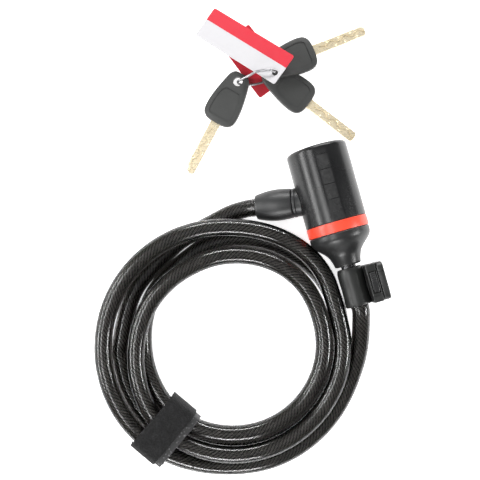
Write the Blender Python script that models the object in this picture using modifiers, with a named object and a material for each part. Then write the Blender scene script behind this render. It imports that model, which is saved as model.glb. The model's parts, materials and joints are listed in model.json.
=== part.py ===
"""Key-operated coil cable lock with a mounting bracket, a cable strap and a bunch of three keys.

The lock lies flat on the plane z = 0, +Z up, in metres.  Everything is placed from the centre of
the cable coil, or from the axis of the lock head.  In the head's own frame the centre of the
coloured trim ring is the origin, +Z runs along the barrel towards the nose, +X points away from
the coil and +Y is up.
"""

import math

import bmesh
import bpy
from mathutils import Matrix, Vector

MM = 0.001
GAP = 0.3 * MM

# Where the centre of the coil stands in the part's frame
COIL_CENTRE = Vector((-18.05, -77.55, 0.0)) * MM

# Cable and coil
CABLE_R = 6.0 * MM
COIL_INNER_R = 53.5 * MM
COIL_OUTER_R = 92.5 * MM
COIL_HEIGHT = 24.3 * MM
COIL_CORNER_R = 5.5 * MM

# Lock head: where its trim ring is from the coil's centre, and how it is turned
HEAD_ORIGIN = Vector((70.95, 80.68, 20.8)) * MM
HEAD_YAW = math.radians(15.66)
BARREL_R = 20.5 * MM
BARREL_END = -55.0 * MM
RING_HALF = 3.4 * MM
NOSE_END = 26.5 * MM
SHELL_WALL = 2.5 * MM
EDGE_R = 2.7 * MM
GROOVE_PITCH = 10.0 * MM
GROOVE_FIRST = -48.0 * MM
GROOVE_COUNT = 4

# Cable boot, which leaves the barrel's side
BOOT_ALONG = -19.9 * MM
BOOT_LEAN = math.radians(9.8)
BOOT_DROP = math.radians(12.0)

# Key cylinder
ROTOR_R = 6.0 * MM
STATOR_R = 8.4 * MM
CYLINDER_END = -31.2 * MM
WAFER_COUNT = 6
WAFER_FIRST = -48.6 * MM
WAFER_PITCH = 2.7 * MM
WAFER_SIZE = Vector((4.8, 11.4, 0.6)) * MM
WAFER_TRAVEL = 0.8 * MM

# Locking bolt and plug
BOLT_LOW = 9.6 * MM
BOLT_HIGH = 13.2 * MM
BOLT_TIP = 5.9 * MM

# Mounting bracket beside the plug
BRACKET_LOW = 29.1 * MM
BRACKET_HIGH = 54.9 * MM
BRACKET_HALF_H = 12.5 * MM

# Strap round the coil
STRAP_ANGLE = math.radians(230.0)
STRAP_WIDTH = 20.0 * MM
STRAP_THICK = 1.3 * MM
STRAP_MID_R = 71.4 * MM
STRAP_HALF = 22.4 * MM
STRAP_HEIGHT = 27.6 * MM

# Keys: the place of each ring hole in mm, the bearing in degrees and the slope of each key
KEYS = (((4.2, 182.1, 4.85), -29.0, 0.0543),
        ((27.2, 190.9, 10.75), 113.2, 0.133),
        ((27.9, 186.7, 4.85), 53.1, 0.0543))
KEY_HEAD_THICK = 4.2 * MM
KEY_HOLE_Y = 32.0 * MM
KEY_HOLE_R = 3.2 * MM
KEY_BLADE_LENGTH = 39.2 * MM
KEY_BLADE_WIDTH = 7.0 * MM
KEY_BLADE_THICK = 2.0 * MM

# The wire ring's route in mm: over the cards, down through key 1 and back beneath the keys
RING_ROUTE = ((29.2, 185.1, 19.0), (25.5, 186.6, 19.9), (17.0, 186.2, 17.1), (12.5, 184.8, 13.2),
              (8.0, 183.3, 9.8), (4.9, 182.4, 7.6), (4.1, 181.9, 4.8), (4.9, 181.4, 2.2),
              (8.0, 180.9, 1.5), (16.0, 181.2, 1.5), (24.0, 183.6, 1.5), (27.6, 185.4, 2.6),
              (28.4, 186.4, 5.2), (28.3, 188.9, 8.6), (28.2, 189.6, 10.7), (28.5, 189.0, 12.9),
              (29.1, 186.4, 16.4))
RING_WIRE_R = 0.8 * MM

# Cards: name, hole in mm, tilt and bearing in degrees, sides as seen from the hole, colour
CARDS = (("code_card", (29.2, 185.0, 17.8), (15.2, 144.5), (-4.4, 64.6, -16.4, 6.8),
          (0.85, 0.83, 0.82)),
         ("spare_card", (9.0, 206.5, 0.35), (0.0, -53.3), (-12.0, 34.0, -12.3, 12.3),
          (0.80, 0.07, 0.06)))
CARD_THICK = 0.6 * MM

STEEL = (0.55, 0.56, 0.57)
BRASS = (0.74, 0.66, 0.48)
BLACK = (0.028, 0.029, 0.030)


def clear_scene():
    """Remove what the scene holds."""
    for item in list(bpy.data.objects):
        bpy.data.objects.remove(item, do_unlink=True)


def new_collection(name):
    """Add a collection to the scene and return it."""
    made = bpy.data.collections.new(name)
    bpy.context.scene.collection.children.link(made)
    return made


clear_scene()
PARTS = new_collection("cable_lock")
CUTTERS = new_collection("cutters")


def material(name, colour, roughness, metallic=0.0):
    """Make a Principled material."""
    made = bpy.data.materials.new(name)
    made.use_nodes = True
    shader = made.node_tree.nodes["Principled BSDF"]
    shader.inputs["Base Color"].default_value = (*colour, 1.0)
    shader.inputs["Roughness"].default_value = roughness
    shader.inputs["Metallic"].default_value = metallic
    return made


def empty(name, location, rotation=(0.0, 0.0, 0.0), parent=None):
    """Add an empty that other objects are placed by."""
    made = bpy.data.objects.new(name, None)
    made.empty_display_size = 0.01
    made.location = location
    made.rotation_euler = rotation
    made.parent = parent
    PARTS.objects.link(made)
    return made


def place(name, data, parent, look=None, location=(0.0, 0.0, 0.0), rotation=(0.0, 0.0, 0.0)):
    """Link an object under its parent; without a look it is a hidden cutter."""
    made = bpy.data.objects.new(name, data)
    made.parent = parent
    made.location = location
    made.rotation_euler = rotation
    if look is None:
        CUTTERS.objects.link(made)
        made.hide_render = True
        made.display_type = "WIRE"
        return made
    PARTS.objects.link(made)
    data.materials.append(material(name, *look))
    return made


def mesh_from(name, fill):
    """Build a mesh with bmesh: fill adds the geometry."""
    data = bpy.data.meshes.new(name)
    work = bmesh.new()
    fill(work)
    bmesh.ops.recalc_face_normals(work, faces=work.faces)
    work.to_mesh(data)
    work.free()
    return data


def box(name, low, high, parent, look=None, bevel=0.0, **where):
    """A box between two corners."""
    low, high = Vector(low), Vector(high)

    def fill(work):
        made = bmesh.ops.create_cube(work, size=1.0)
        bmesh.ops.scale(work, vec=high - low, verts=made["verts"])
        bmesh.ops.translate(work, vec=(low + high) / 2, verts=made["verts"])

    made = place(name, mesh_from(name, fill), parent, look, **where)
    if bevel:
        add_bevel(made, bevel)
    return made


def rod(name, radius, low, high, parent, look=None, segments=24, **where):
    """A plain cylinder along its own Z axis."""

    def fill(work):
        made = bmesh.ops.create_cone(work, cap_ends=True, segments=segments,
                                     radius1=radius, radius2=radius, depth=high - low)
        bmesh.ops.translate(work, vec=(0, 0, (low + high) / 2), verts=made["verts"])

    return place(name, mesh_from(name, fill), parent, look, **where)


def turned(name, profile, parent, look=None, steps=36, closed=False, **where):
    """A turned shape: the profile of (radius, height) runs down its outer side at +X."""
    data = bpy.data.meshes.new(name)
    points = [(r, 0.0, z) for r, z in profile]
    edges = [(i, i + 1) for i in range(len(points) - 1)]
    if closed:
        edges.append((len(points) - 1, 0))
    data.from_pydata(points, edges, [])
    made = place(name, data, parent, look, **where)
    screw = made.modifiers.new("turn", "SCREW")
    screw.axis = "Z"
    screw.angle = 2 * math.pi
    screw.steps = steps
    screw.render_steps = steps
    screw.use_merge_vertices = True
    screw.merge_threshold = 0.00002
    return made


def add_bevel(target, width, segments=2):
    """Round an object's sharp edges."""
    bevel = target.modifiers.new("round_edges", "BEVEL")
    bevel.width = width
    bevel.segments = segments
    bevel.limit_method = "ANGLE"
    bevel.angle_limit = math.radians(50)
    return bevel


def in_mm(points):
    """The same outline in metres, for points given in mm."""
    return [(x * MM, y * MM) for x, y in points]


def combine(target, tool, operation="DIFFERENCE"):
    """Cut a cutter away from an object, or join it on."""
    step = target.modifiers.new(operation.lower(), "BOOLEAN")
    step.operation = operation
    step.solver = "EXACT"
    step.object = tool
    return step


def tube_curve(name, points, radius, parent, look=None, sides=2, cyclic=False):
    """A round tube along a list of points."""
    data = bpy.data.curves.new(name, "CURVE")
    data.dimensions = "3D"
    spline = data.splines.new("POLY")
    spline.points.add(len(points) - 1)
    for target, point in zip(spline.points, points):
        target.co = (*point, 1.0)
    spline.use_cyclic_u = cyclic
    data.bevel_depth = radius
    data.bevel_resolution = sides
    data.use_fill_caps = not cyclic
    return place(name, data, parent, look)


def flat_curve(name, outlines, thickness, parent, look=None, **where):
    """A flat outline, with any further outlines as holes, given a thickness along Z."""
    data = bpy.data.curves.new(name, "CURVE")
    data.dimensions = "2D"
    data.fill_mode = "BOTH"
    data.extrude = thickness / 2
    for outline in outlines:
        spline = data.splines.new("POLY")
        spline.points.add(len(outline) - 1)
        for target, point in zip(spline.points, outline):
            target.co = (point[0], point[1], 0.0, 1.0)
        spline.use_cyclic_u = True
    return place(name, data, parent, look, **where)


def as_mesh(item):
    """Turn a curve object into a closed mesh object, so that it can be cut or can cut."""
    bpy.context.view_layer.update()
    graph = bpy.context.evaluated_depsgraph_get()
    data = bpy.data.meshes.new_from_object(item.evaluated_get(graph))
    work = bmesh.new()
    work.from_mesh(data)
    bmesh.ops.remove_doubles(work, verts=work.verts, dist=0.00002)
    bmesh.ops.recalc_face_normals(work, faces=work.faces)
    work.to_mesh(data)
    work.free()
    name, home, world = item.name, item.users_collection[0], item.matrix_world.copy()
    hidden = item.hide_render
    bpy.data.objects.remove(item, do_unlink=True)
    made = bpy.data.objects.new(name, data)
    made.matrix_world = world
    made.hide_render = hidden
    made.display_type = "WIRE" if hidden else "TEXTURED"
    home.objects.link(made)
    return made


def smooth_sides(item):
    """Shade a round piece smooth."""
    item.data.shade_smooth()


def arc(centre, radius, start, end, steps):
    """Points on an arc, with angles in degrees."""
    made = []
    for i in range(steps + 1):
        angle = math.radians(start + (end - start) * i / steps)
        made.append((centre[0] + radius * math.cos(angle), centre[1] + radius * math.sin(angle)))
    return made


def rounded_rectangle(half_x, low, high, radius, steps=5):
    """The outline of a rectangle with round corners, centred on x = 0."""
    return (arc((half_x - radius, high - radius), radius, 90, 0, steps)
            + arc((half_x - radius, low + radius), radius, 0, -90, steps)
            + arc((-half_x + radius, low + radius), radius, 270, 180, steps)
            + arc((-half_x + radius, high - radius), radius, 180, 90, steps))


def polar(angle, radius, height):
    """A point given by its angle in degrees and its radius and height in mm."""
    turn = math.radians(angle)
    return Vector((radius * math.cos(turn), radius * math.sin(turn), height)) * MM


def smooth_route(points, spacing):
    """Points read from a Catmull-Rom curve through the route's own points."""
    ends = [points[0] * 2 - points[1]] + points + [points[-1] * 2 - points[-2]]
    fine = []
    for p0, p1, p2, p3 in zip(ends, ends[1:], ends[2:], ends[3:]):
        count = max(1, round((p2 - p1).length / spacing))
        for i in range(count):
            t = i / count
            fine.append(0.5 * (p1 * 2 + (p2 - p0) * t + (p0 * 2 - p1 * 5 + p2 * 4 - p3) * t ** 2
                               + (p1 * 3 - p0 - p2 * 3 + p3) * t ** 3))
    fine.append(points[-1])
    return fine


# ---------------------------------------------------------------- frames

LOCK = empty("lock", COIL_CENTRE)
HEAD = empty("head", HEAD_ORIGIN, (math.radians(90), 0, HEAD_YAW), LOCK)
TO_HEAD = Matrix.Translation(HEAD_ORIGIN) @ Matrix.Rotation(HEAD_YAW, 4, "Z") @ Matrix.Rotation(
    math.radians(90), 4, "X")
BOOT_DIRECTION = Vector((-math.cos(BOOT_DROP) * math.cos(BOOT_LEAN), -math.sin(BOOT_DROP),
                         -math.cos(BOOT_DROP) * math.sin(BOOT_LEAN)))
BOOT_AXIS = empty("boot_axis", (0, 0, BOOT_ALONG),
                  BOOT_DIRECTION.to_track_quat("Z", "Y").to_euler(), HEAD)
SIDE_AXIS = empty("side_axis", (0, 0, BOOT_ALONG), (0, math.radians(-90), 0), HEAD)
PIN_AXIS = empty("pin_axis", (-9.0 * MM, 0, BOOT_ALONG), (math.radians(-90), 0, 0), HEAD)


# ---------------------------------------------------------------- lock head

def nose_profile(inset=0.0):
    """Outer outline of the tapered nose, from its end back to the trim ring."""
    points = [(7.2, 26.5), (8.0, 25.9), (9.1, 24.1), (10.2, 20.4), (12.8, 16.4), (15.2, 14.0),
              (17.3, 12.0), (19.2, 9.6), (20.3, 7.3), (20.5, 3.7)]
    return [(r * MM - inset, z * MM) for r, z in points]


def build_housing():
    """The barrel's shell, with its rounded key end, side opening and four front grooves."""
    low = -RING_HALF - GAP
    inner = BARREL_R - SHELL_WALL
    rim = [(BARREL_R - EDGE_R + EDGE_R * math.sin(a), BARREL_END + EDGE_R - EDGE_R * math.cos(a))
           for a in [math.radians(15 * i) for i in range(6, -1, -1)]]
    profile = [(BARREL_R, low)] + rim + [(10.1 * MM, BARREL_END),
                                         (10.1 * MM, BARREL_END + SHELL_WALL),
                                         (inner, BARREL_END + SHELL_WALL), (inner, low)]
    shell = turned("housing_shell", profile, HEAD, (BLACK, 0.38), steps=36, closed=True)
    side = rod("side_opening", 8.0 * MM, 12 * MM, 26 * MM, BOOT_AXIS)
    combine(shell, side)
    for i in range(GROOVE_COUNT):
        along = GROOVE_FIRST + i * GROOVE_PITCH
        groove = box("front_groove_%d" % i, (-6 * MM, BARREL_R - 0.45 * MM, along - 0.25 * MM),
                     (6 * MM, BARREL_R + MM, along + 0.25 * MM), HEAD)
        combine(shell, groove)
    smooth_sides(shell)
    return shell


def build_trim_ring():
    """The coloured ring between barrel and nose."""
    inner = BARREL_R - SHELL_WALL
    profile = [(BARREL_R + 0.1 * MM, RING_HALF), (BARREL_R + 0.1 * MM, -RING_HALF),
               (inner, -RING_HALF), (inner, RING_HALF)]
    return turned("trim_ring", profile, HEAD, ((0.90, 0.10, 0.05), 0.35), steps=36, closed=True)


def build_nose():
    """The tapered nose cap, hollow round the bolt and bored for the plug."""
    inner = [(18.0, 3.7), (17.6, 7.0), (15.0, 11.0), (11.2, 14.6), (9.6, 16.6), (5.6, 16.6)]
    profile = ([(5.6 * MM, NOSE_END)] + nose_profile()
               + in_mm(inner))
    return turned("nose_cap", profile, HEAD, (BLACK, 0.36), steps=36, closed=True)


def build_cores():
    """The two metal blocks inside the shell, which take the load."""
    outline = [(0, -13.5), (5.4, -13.5), (5.4, -3.0), (17.6, -3.0), (17.6, -50.0), (8.7, -50.0),
               (8.7, -28.7), (0, -28.7)]
    core = turned("lock_core", in_mm(outline), HEAD, ((0.35, 0.35, 0.36), 0.45, 1.0), steps=28)
    outline = [(5.4, 15.8), (9.2, 15.8), (10.6, 14.2), (14.4, 10.6), (17.0, 6.8), (17.4, -2.6),
               (5.4, -2.6)]
    front = turned("bolt_carrier", in_mm(outline), HEAD, ((0.40, 0.40, 0.41), 0.4, 1.0),
                   steps=28, closed=True)
    arm_way = box("cam_arm_way", (5.2 * MM, -9.4 * MM, -31.2 * MM),
                  (12.5 * MM, 9.4 * MM, 8.9 * MM), HEAD)
    combine(core, arm_way)
    combine(front, arm_way)
    combine(core, rod("ferrule_bore", 6.3 * MM, -3.6 * MM, 20 * MM, SIDE_AXIS))
    combine(core, rod("pin_bore", 1.8 * MM, 4.0 * MM, 20.0 * MM, PIN_AXIS, segments=16))
    bolt_way = box("bolt_way", (4.0 * MM, -3.6 * MM, BOLT_LOW - GAP),
                   (20 * MM, 3.6 * MM, BOLT_HIGH + GAP), HEAD)
    combine(front, bolt_way)


def build_cylinder():
    """Bezel, stator, rotor with its keyway, wafers, cam and retaining clip."""
    turned("key_bezel", [(9.6 * MM, -50.3 * MM), (9.6 * MM, -55.0 * MM), (9.2 * MM, -55.4 * MM),
                         (6.9 * MM, -55.4 * MM), (6.4 * MM, -55.0 * MM), (6.4 * MM, -50.3 * MM)],
           HEAD, ((0.5, 0.5, 0.52), 0.25, 1.0), steps=28, closed=True)
    stator = turned("stator", [(STATOR_R, CYLINDER_END), (STATOR_R, -49.8 * MM),
                               (ROTOR_R + GAP, -49.8 * MM), (ROTOR_R + GAP, CYLINDER_END)],
                    HEAD, (STEEL, 0.4, 1.0), steps=28, closed=True)
    for i, (half_x, half_y) in enumerate([(2.7, 7.4), (7.4, 2.7)]):
        channel = box("wafer_channel_%d" % i, (-half_x * MM, -half_y * MM, -49.2 * MM),
                      (half_x * MM, half_y * MM, -33.0 * MM), HEAD)
        combine(stator, channel)
    rotor = rod("rotor", ROTOR_R, -55.0 * MM, CYLINDER_END, HEAD, (BRASS, 0.3, 1.0), segments=24)
    combine(rotor, box("keyway", (-1.3 * MM, -3.6 * MM, -56 * MM),
                       (1.3 * MM, 3.6 * MM, -33.2 * MM), HEAD))
    for i in range(WAFER_COUNT):
        along = WAFER_FIRST + i * WAFER_PITCH
        half = WAFER_SIZE.z / 2 + 0.15 * MM
        combine(rotor, box("wafer_slot_%d" % i, (-2.65 * MM, -7 * MM, along - half),
                           (2.65 * MM, 7 * MM, along + half), HEAD))
        half_size = WAFER_SIZE / 2
        wafer = box("wafer_%d" % (i + 1), -half_size, half_size, HEAD, (BRASS, 0.35, 1.0),
                    location=(0, 0, along))
        combine(wafer, box("wafer_window_%d" % i, (-1.45 * MM, -3.8 * MM, along - MM),
                           (1.45 * MM, 3.8 * MM, along + MM), HEAD))
    cam = rod("cam", 8.0 * MM, -30.9 * MM, -29.2 * MM, HEAD, ((0.6, 0.6, 0.6), 0.35, 1.0))
    turn = Matrix.Rotation(math.radians(-45), 4, "Z")
    arm = box("cam_arm", (6.0 * MM, -1.3 * MM, -30.9 * MM), (11.0 * MM, 1.3 * MM, -29.2 * MM), HEAD)
    finger = box("cam_finger", (9.0 * MM, -1.3 * MM, -30.0 * MM),
                 (11.0 * MM, 1.3 * MM, 8.4 * MM), HEAD)
    for tool in (arm, finger):
        tool.data.transform(turn)
        combine(cam, tool, "UNION")


def build_bolt():
    """The locking bolt, its spring and the side pieces that hold the cable's end."""
    bolt = box("locking_bolt", (BOLT_TIP, -3.2 * MM, BOLT_LOW), (9.9 * MM, 3.2 * MM, BOLT_HIGH),
               HEAD, (STEEL, 0.3, 1.0), bevel=0.3 * MM)
    smooth_sides(bolt)
    coils = 3
    points = []
    for i in range(coils * 10 + 1):
        angle = 2 * math.pi * i / 10
        points.append(Vector((10.5 * MM + 1.9 * MM * i / (coils * 10),
                              1.15 * MM * math.cos(angle),
                              (BOLT_LOW + BOLT_HIGH) / 2 + 1.15 * MM * math.sin(angle))))
    tube_curve("bolt_spring", points, 0.25 * MM, HEAD, (STEEL, 0.3, 1.0), sides=1)
    turned("cable_ferrule", [(0, 15.6 * MM), (5.6 * MM, 15.6 * MM), (6.0 * MM, 15.0 * MM),
                             (6.0 * MM, -2.4 * MM), (5.2 * MM, -3.2 * MM), (0, -3.2 * MM)],
           SIDE_AXIS, (STEEL, 0.35, 1.0), steps=28)
    rod("ferrule_pin", 1.5 * MM, 6.6 * MM, 14.0 * MM, PIN_AXIS, (STEEL, 0.3, 1.0), segments=16)


def build_boot():
    """The collar on the barrel's side and the tapered boot round the cable."""
    saddle = rod("barrel_saddle", BARREL_R + GAP, -45 * MM, 0, HEAD, segments=56)
    collar = turned("boot_collar", [(9.4 * MM, 24.6 * MM), (9.8 * MM, 24.0 * MM),
                                    (9.8 * MM, 17.0 * MM), (7.0 * MM, 17.0 * MM),
                                    (7.0 * MM, 24.6 * MM)],
                    BOOT_AXIS, (BLACK, 0.4), steps=36, closed=True)
    combine(collar, saddle)
    neck = turned("boot_neck", in_mm([(0, 27.4), (6.7, 27.4), (6.7, 17.6), (0, 17.6)]),
                  BOOT_AXIS, (STEEL, 0.4, 1.0), steps=28)
    core_saddle = rod("core_saddle", 17.6 * MM + GAP, -45 * MM, 0, HEAD, segments=40)
    combine(neck, core_saddle)
    profile = [(6.35, 50.0), (8.0, 50.0), (8.4, 49.4), (9.4, 44.5), (10.4, 39.5), (10.7, 35.0),
               (10.5, 30.0), (9.9, 24.9), (7.0, 24.9), (7.0, 27.7), (6.35, 27.7)]
    boot = turned("cable_boot", in_mm(profile), BOOT_AXIS, (BLACK, 0.45),
                  steps=36, closed=True)
    return boot


# ---------------------------------------------------------------- plug and bracket

def build_plug():
    """The plug pin with its locking groove, up to the flange inside the bracket hub."""
    profile = [(0, 46.0), (6.05, 46.0), (6.05, 41.3), (5.0, 41.3), (5.0, 13.7), (3.2, 13.5),
               (3.2, 9.3), (5.0, 9.1), (5.0, 7.6), (4.0, 6.7), (0, 6.7)]
    turned("plug_pin", in_mm(profile), HEAD, ((0.10, 0.10, 0.11), 0.35, 1.0),
           steps=24)


def build_bracket():
    """The hub round the plug's shank, the clip block, the rail plate and what fastens them."""
    hub_profile = [(6.35, 54.3), (8.5, 54.3), (9.0, 53.8), (9.0, 49.0), (8.7, 40.0), (8.9, 32.0),
                   (8.5, 29.0), (7.8, 28.2), (5.35, 28.2), (5.35, 40.9), (6.35, 40.9)]
    turned("bracket_hub", in_mm(hub_profile), HEAD, (BLACK, 0.4), steps=36, closed=True)
    low, high, half = BRACKET_LOW, BRACKET_HIGH, BRACKET_HALF_H
    block = box("clip_block", (8.5 * MM, -half, low), (15.4 * MM, half, high), HEAD,
                (BLACK, 0.42), bevel=0.8 * MM)
    combine(block, box("tongue_recess", (9.8 * MM, half - 3.4 * MM, 34.2 * MM),
                       (14.5 * MM, half + MM, 48.8 * MM), HEAD))
    combine(block, rod("hub_seat", 9.0 * MM + GAP, 26 * MM, 56 * MM, HEAD, segments=36))
    box("release_tongue", (10.2 * MM, half - 1.5 * MM, 34.8 * MM),
        (14.1 * MM, half + 0.5 * MM, 48.2 * MM), HEAD, (BLACK, 0.36), bevel=0.3 * MM)
    rail = box("rail_plate", (15.8 * MM, -half, low), (20.4 * MM, half, high), HEAD,
               (BLACK, 0.4), bevel=1.2 * MM)
    combine(rail, box("rail_notch", (18.6 * MM, half - 1.2 * MM, 35.2 * MM),
                      (21 * MM, half + MM, 36.2 * MM), HEAD))
    for i, height in enumerate((-7.5 * MM, 7.5 * MM)):
        where = {"location": (0, height, 42.0 * MM), "rotation": (0, math.radians(90), 0)}
        shank = rod("screw_shank_%d" % i, 1.8 * MM, 10.0 * MM, 24 * MM, HEAD, **where)
        seat = rod("screw_seat_%d" % i, 3.3 * MM, 18.4 * MM, 24 * MM, HEAD, **where)
        combine(block, shank)
        combine(rail, shank)
        combine(rail, seat)
        screw = [(0, 20.2), (2.9, 20.2), (2.9, 18.7), (1.5, 18.7), (1.5, 10.4), (0, 10.4)]
        turned("rail_screw_%d" % (i + 1), in_mm(screw), HEAD, (STEEL, 0.35, 1.0), steps=20,
               **where)


# ---------------------------------------------------------------- cable and strap

def cable_routes():
    """The free stretches of cable, from boot to coil and from coil to bracket hub."""
    boot_point = TO_HEAD @ Vector((0, 0, BOOT_ALONG))
    boot_way = (TO_HEAD.to_3x3() @ BOOT_DIRECTION).normalized()
    lead = [boot_point + boot_way * distance * MM for distance in (41.0, 46.0, 51.0, 57.0)]
    lead += [polar(90.5, 90.9, 7.4), polar(97.5, 86.4, 6.4), polar(105.0, 83.0, 6.2)]
    tail = [TO_HEAD @ Vector((0, 0, along * MM)) for along in (46.6, 50.5, 54.4, 59.0)]
    tail += [polar(8.0, 88.0, 17.3), polar(-2.0, 86.2, 13.6), polar(-12.0, 84.6, 9.2),
             polar(-22.0, 83.4, 6.2)]
    return smooth_route(lead, 4 * MM), smooth_route(tail, 4 * MM)


def longer(points, extra):
    """The same route with its last point moved a little further on."""
    way = (points[-1] - points[-2]).normalized()
    return points[:-1] + [points[-1] + way * extra]


def build_cable():
    """The coil's outer shape as a turned ring, and the two free stretches as tubes."""
    corner = COIL_CORNER_R
    top, low, out, inn = COIL_HEIGHT, 0.0, COIL_OUTER_R, COIL_INNER_R
    profile = (arc((out - corner, top - corner), corner, 90, 0, 3)
               + arc((out - corner, low + corner), corner, 0, -90, 3)
               + arc((inn + corner, low + corner), corner, 270, 180, 3)
               + arc((inn + corner, top - corner), corner, 180, 90, 3))
    coil = turned("cable_coil", profile, LOCK, ((0.35, 0.34, 0.33), 0.2), steps=60, closed=True)
    lead, tail = cable_routes()
    for name, points in (("cable_lead", lead), ("cable_tail", tail)):
        tube_curve(name, points, CABLE_R, LOCK, ((0.35, 0.34, 0.33), 0.2), sides=3)
        channel = tube_curve(name + "_channel", longer(points, GAP), CABLE_R + GAP, LOCK, sides=3)
        combine(coil, as_mesh(channel))
    nose = [(0, 27.2 * MM)] + nose_profile(-0.5 * MM) + [(21.0 * MM, -56 * MM), (0, -56 * MM)]
    combine(coil, turned("head_clearance", nose, HEAD, steps=56))
    combine(coil, rod("hub_clearance", 9.4 * MM, 26.0 * MM, 54.8 * MM, HEAD, segments=36))
    boot = [(0, 50.3), (8.6, 50.3), (8.9, 49.6), (9.9, 44.5), (10.9, 39.5), (11.2, 35.0),
            (11.0, 24.0), (0, 24.0)]
    combine(coil, turned("boot_clearance", in_mm(boot), BOOT_AXIS,
                         steps=36))
    combine(coil, strap_waist())
    smooth_sides(coil)


STRAP_FRAME = empty("strap_frame", (STRAP_MID_R * math.cos(STRAP_ANGLE),
                                    STRAP_MID_R * math.sin(STRAP_ANGLE), 0),
                    (math.radians(90), 0, STRAP_ANGLE), LOCK)


def strap_waist():
    """A block with a hole, which leaves the coil a waist for the strap to lie in."""
    inset = STRAP_THICK + GAP
    hole = rounded_rectangle(STRAP_HALF - inset, inset, STRAP_HEIGHT - inset, 7.5 * MM)
    block = rounded_rectangle(40 * MM, -20 * MM, 60 * MM, 2 * MM)
    made = flat_curve("strap_waist", [block, hole], STRAP_WIDTH + 2 * GAP, STRAP_FRAME)
    return as_mesh(made)


def build_strap():
    """The hook-and-loop strap: a closed wrap and the end that lies over it."""
    outer = rounded_rectangle(STRAP_HALF, 0, STRAP_HEIGHT, 9.0 * MM)
    inner = rounded_rectangle(STRAP_HALF - STRAP_THICK, STRAP_THICK, STRAP_HEIGHT - STRAP_THICK,
                              7.7 * MM)
    flat_curve("strap_wrap", [outer, inner], STRAP_WIDTH, STRAP_FRAME, (BLACK, 0.9))
    top = STRAP_HEIGHT + GAP
    under = arc((STRAP_HALF - 9.0 * MM, STRAP_HEIGHT - 9.0 * MM), 9.0 * MM + GAP, 90, 0, 5)
    over = arc((STRAP_HALF - 9.0 * MM, STRAP_HEIGHT - 9.0 * MM), 9.0 * MM + GAP + STRAP_THICK,
               0, 90, 5)
    end = -STRAP_HALF + 2.0 * MM
    outline = ([(end, top)] + under + [(STRAP_HALF + GAP, 9.5 * MM),
                                       (STRAP_HALF + GAP + STRAP_THICK, 9.5 * MM)] + over
               + [(end, top + STRAP_THICK)])
    flat_curve("strap_end", [outline], STRAP_WIDTH, STRAP_FRAME, (BLACK, 0.9))


# ---------------------------------------------------------------- keys

def key_head_outline():
    """Broad at the blade's end, drawn in towards the ring hole, in mm from the blade's root."""
    right = [(3.6, 0.0), (8.0, 0.8), (11.0, 3.2), (12.0, 7.5), (11.8, 14.0), (10.6, 22.0),
             (8.8, 30.0), (7.4, 35.0), (4.8, 38.0)]
    return in_mm(right + [(-x, y) for x, y in reversed(right)])


def build_key(number, hole, bearing, pitch):
    """One key, placed by its ring hole: a plastic head round the root of a milled blade."""
    tilt = (math.atan(pitch), 0, math.radians(bearing))
    axis = empty("key_%d" % number, Vector(hole) * MM, tilt, LOCK)
    root = empty("key_%d_root" % number, (0, -KEY_HOLE_Y, 0), parent=axis)
    ring_hole = arc((0, KEY_HOLE_Y), KEY_HOLE_R, 0, 345, 23)
    outline = flat_curve("key_%d_head" % number, [key_head_outline(), ring_hole], KEY_HEAD_THICK,
                         root, (BLACK, 0.4))
    head = as_mesh(outline)
    half_x, half_z = KEY_BLADE_WIDTH / 2, KEY_BLADE_THICK / 2
    combine(head, box("key_%d_slot" % number, (-half_x - GAP, -2 * MM, -half_z - GAP),
                      (half_x + GAP, 12.3 * MM, half_z + GAP), root))
    blade = box("key_%d_blade" % number, (-half_x, -KEY_BLADE_LENGTH, -half_z),
                (half_x, 12.0 * MM, half_z), root, (BRASS, 0.28, 1.0), bevel=0.35 * MM)
    for side in (-1, 1):
        combine(blade, box("key_%d_track_%d" % (number, side + 1),
                           (-1.0 * MM, -KEY_BLADE_LENGTH - MM, side * half_z - 0.4 * MM),
                           (1.0 * MM, -3.0 * MM, side * half_z + 0.4 * MM), root))


def build_keys():
    """Three keys on a bent wire ring, with two blank cards."""
    for number, (hole, bearing, pitch) in enumerate(KEYS, 1):
        build_key(number, hole, bearing, pitch)
    points = [Vector(point) * MM for point in RING_ROUTE]
    loop = smooth_route(points + [points[0]], 2.5 * MM)[:-1]
    tube_curve("key_ring", loop, RING_WIRE_R, LOCK, (STEEL, 0.3, 1.0), cyclic=True)
    for name, hole, angles, corners, colour in CARDS:
        low_x, high_x, low_y, high_y = [value * MM for value in corners]
        frame = empty(name + "_frame", Vector(hole) * MM,
                      (0, math.radians(angles[0]), math.radians(angles[1])), LOCK)
        outline = [(low_x, high_y), (high_x, high_y), (high_x, low_y), (low_x, low_y)]
        ring_hole = arc((0, 0), 2.0 * MM, 0, 345, 23)
        flat_curve(name, [outline, ring_hole], CARD_THICK, frame, (colour, 0.45))


build_housing()
build_trim_ring()
build_nose()
build_cores()
build_cylinder()
build_bolt()
build_boot()
build_plug()
build_bracket()
build_cable()
build_strap()
build_keys()
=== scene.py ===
"""Looks of a key-operated coil cable lock with its mounting bracket, strap and bunch of keys.

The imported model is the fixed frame.  Each sub-assembly is a class that builds its own pieces and
dresses them; lengths are in metres unless a name ends in _mm.
"""

import logging
import math
from dataclasses import dataclass, field
from enum import Enum
from typing import Callable, Iterable, Optional, Sequence

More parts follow.
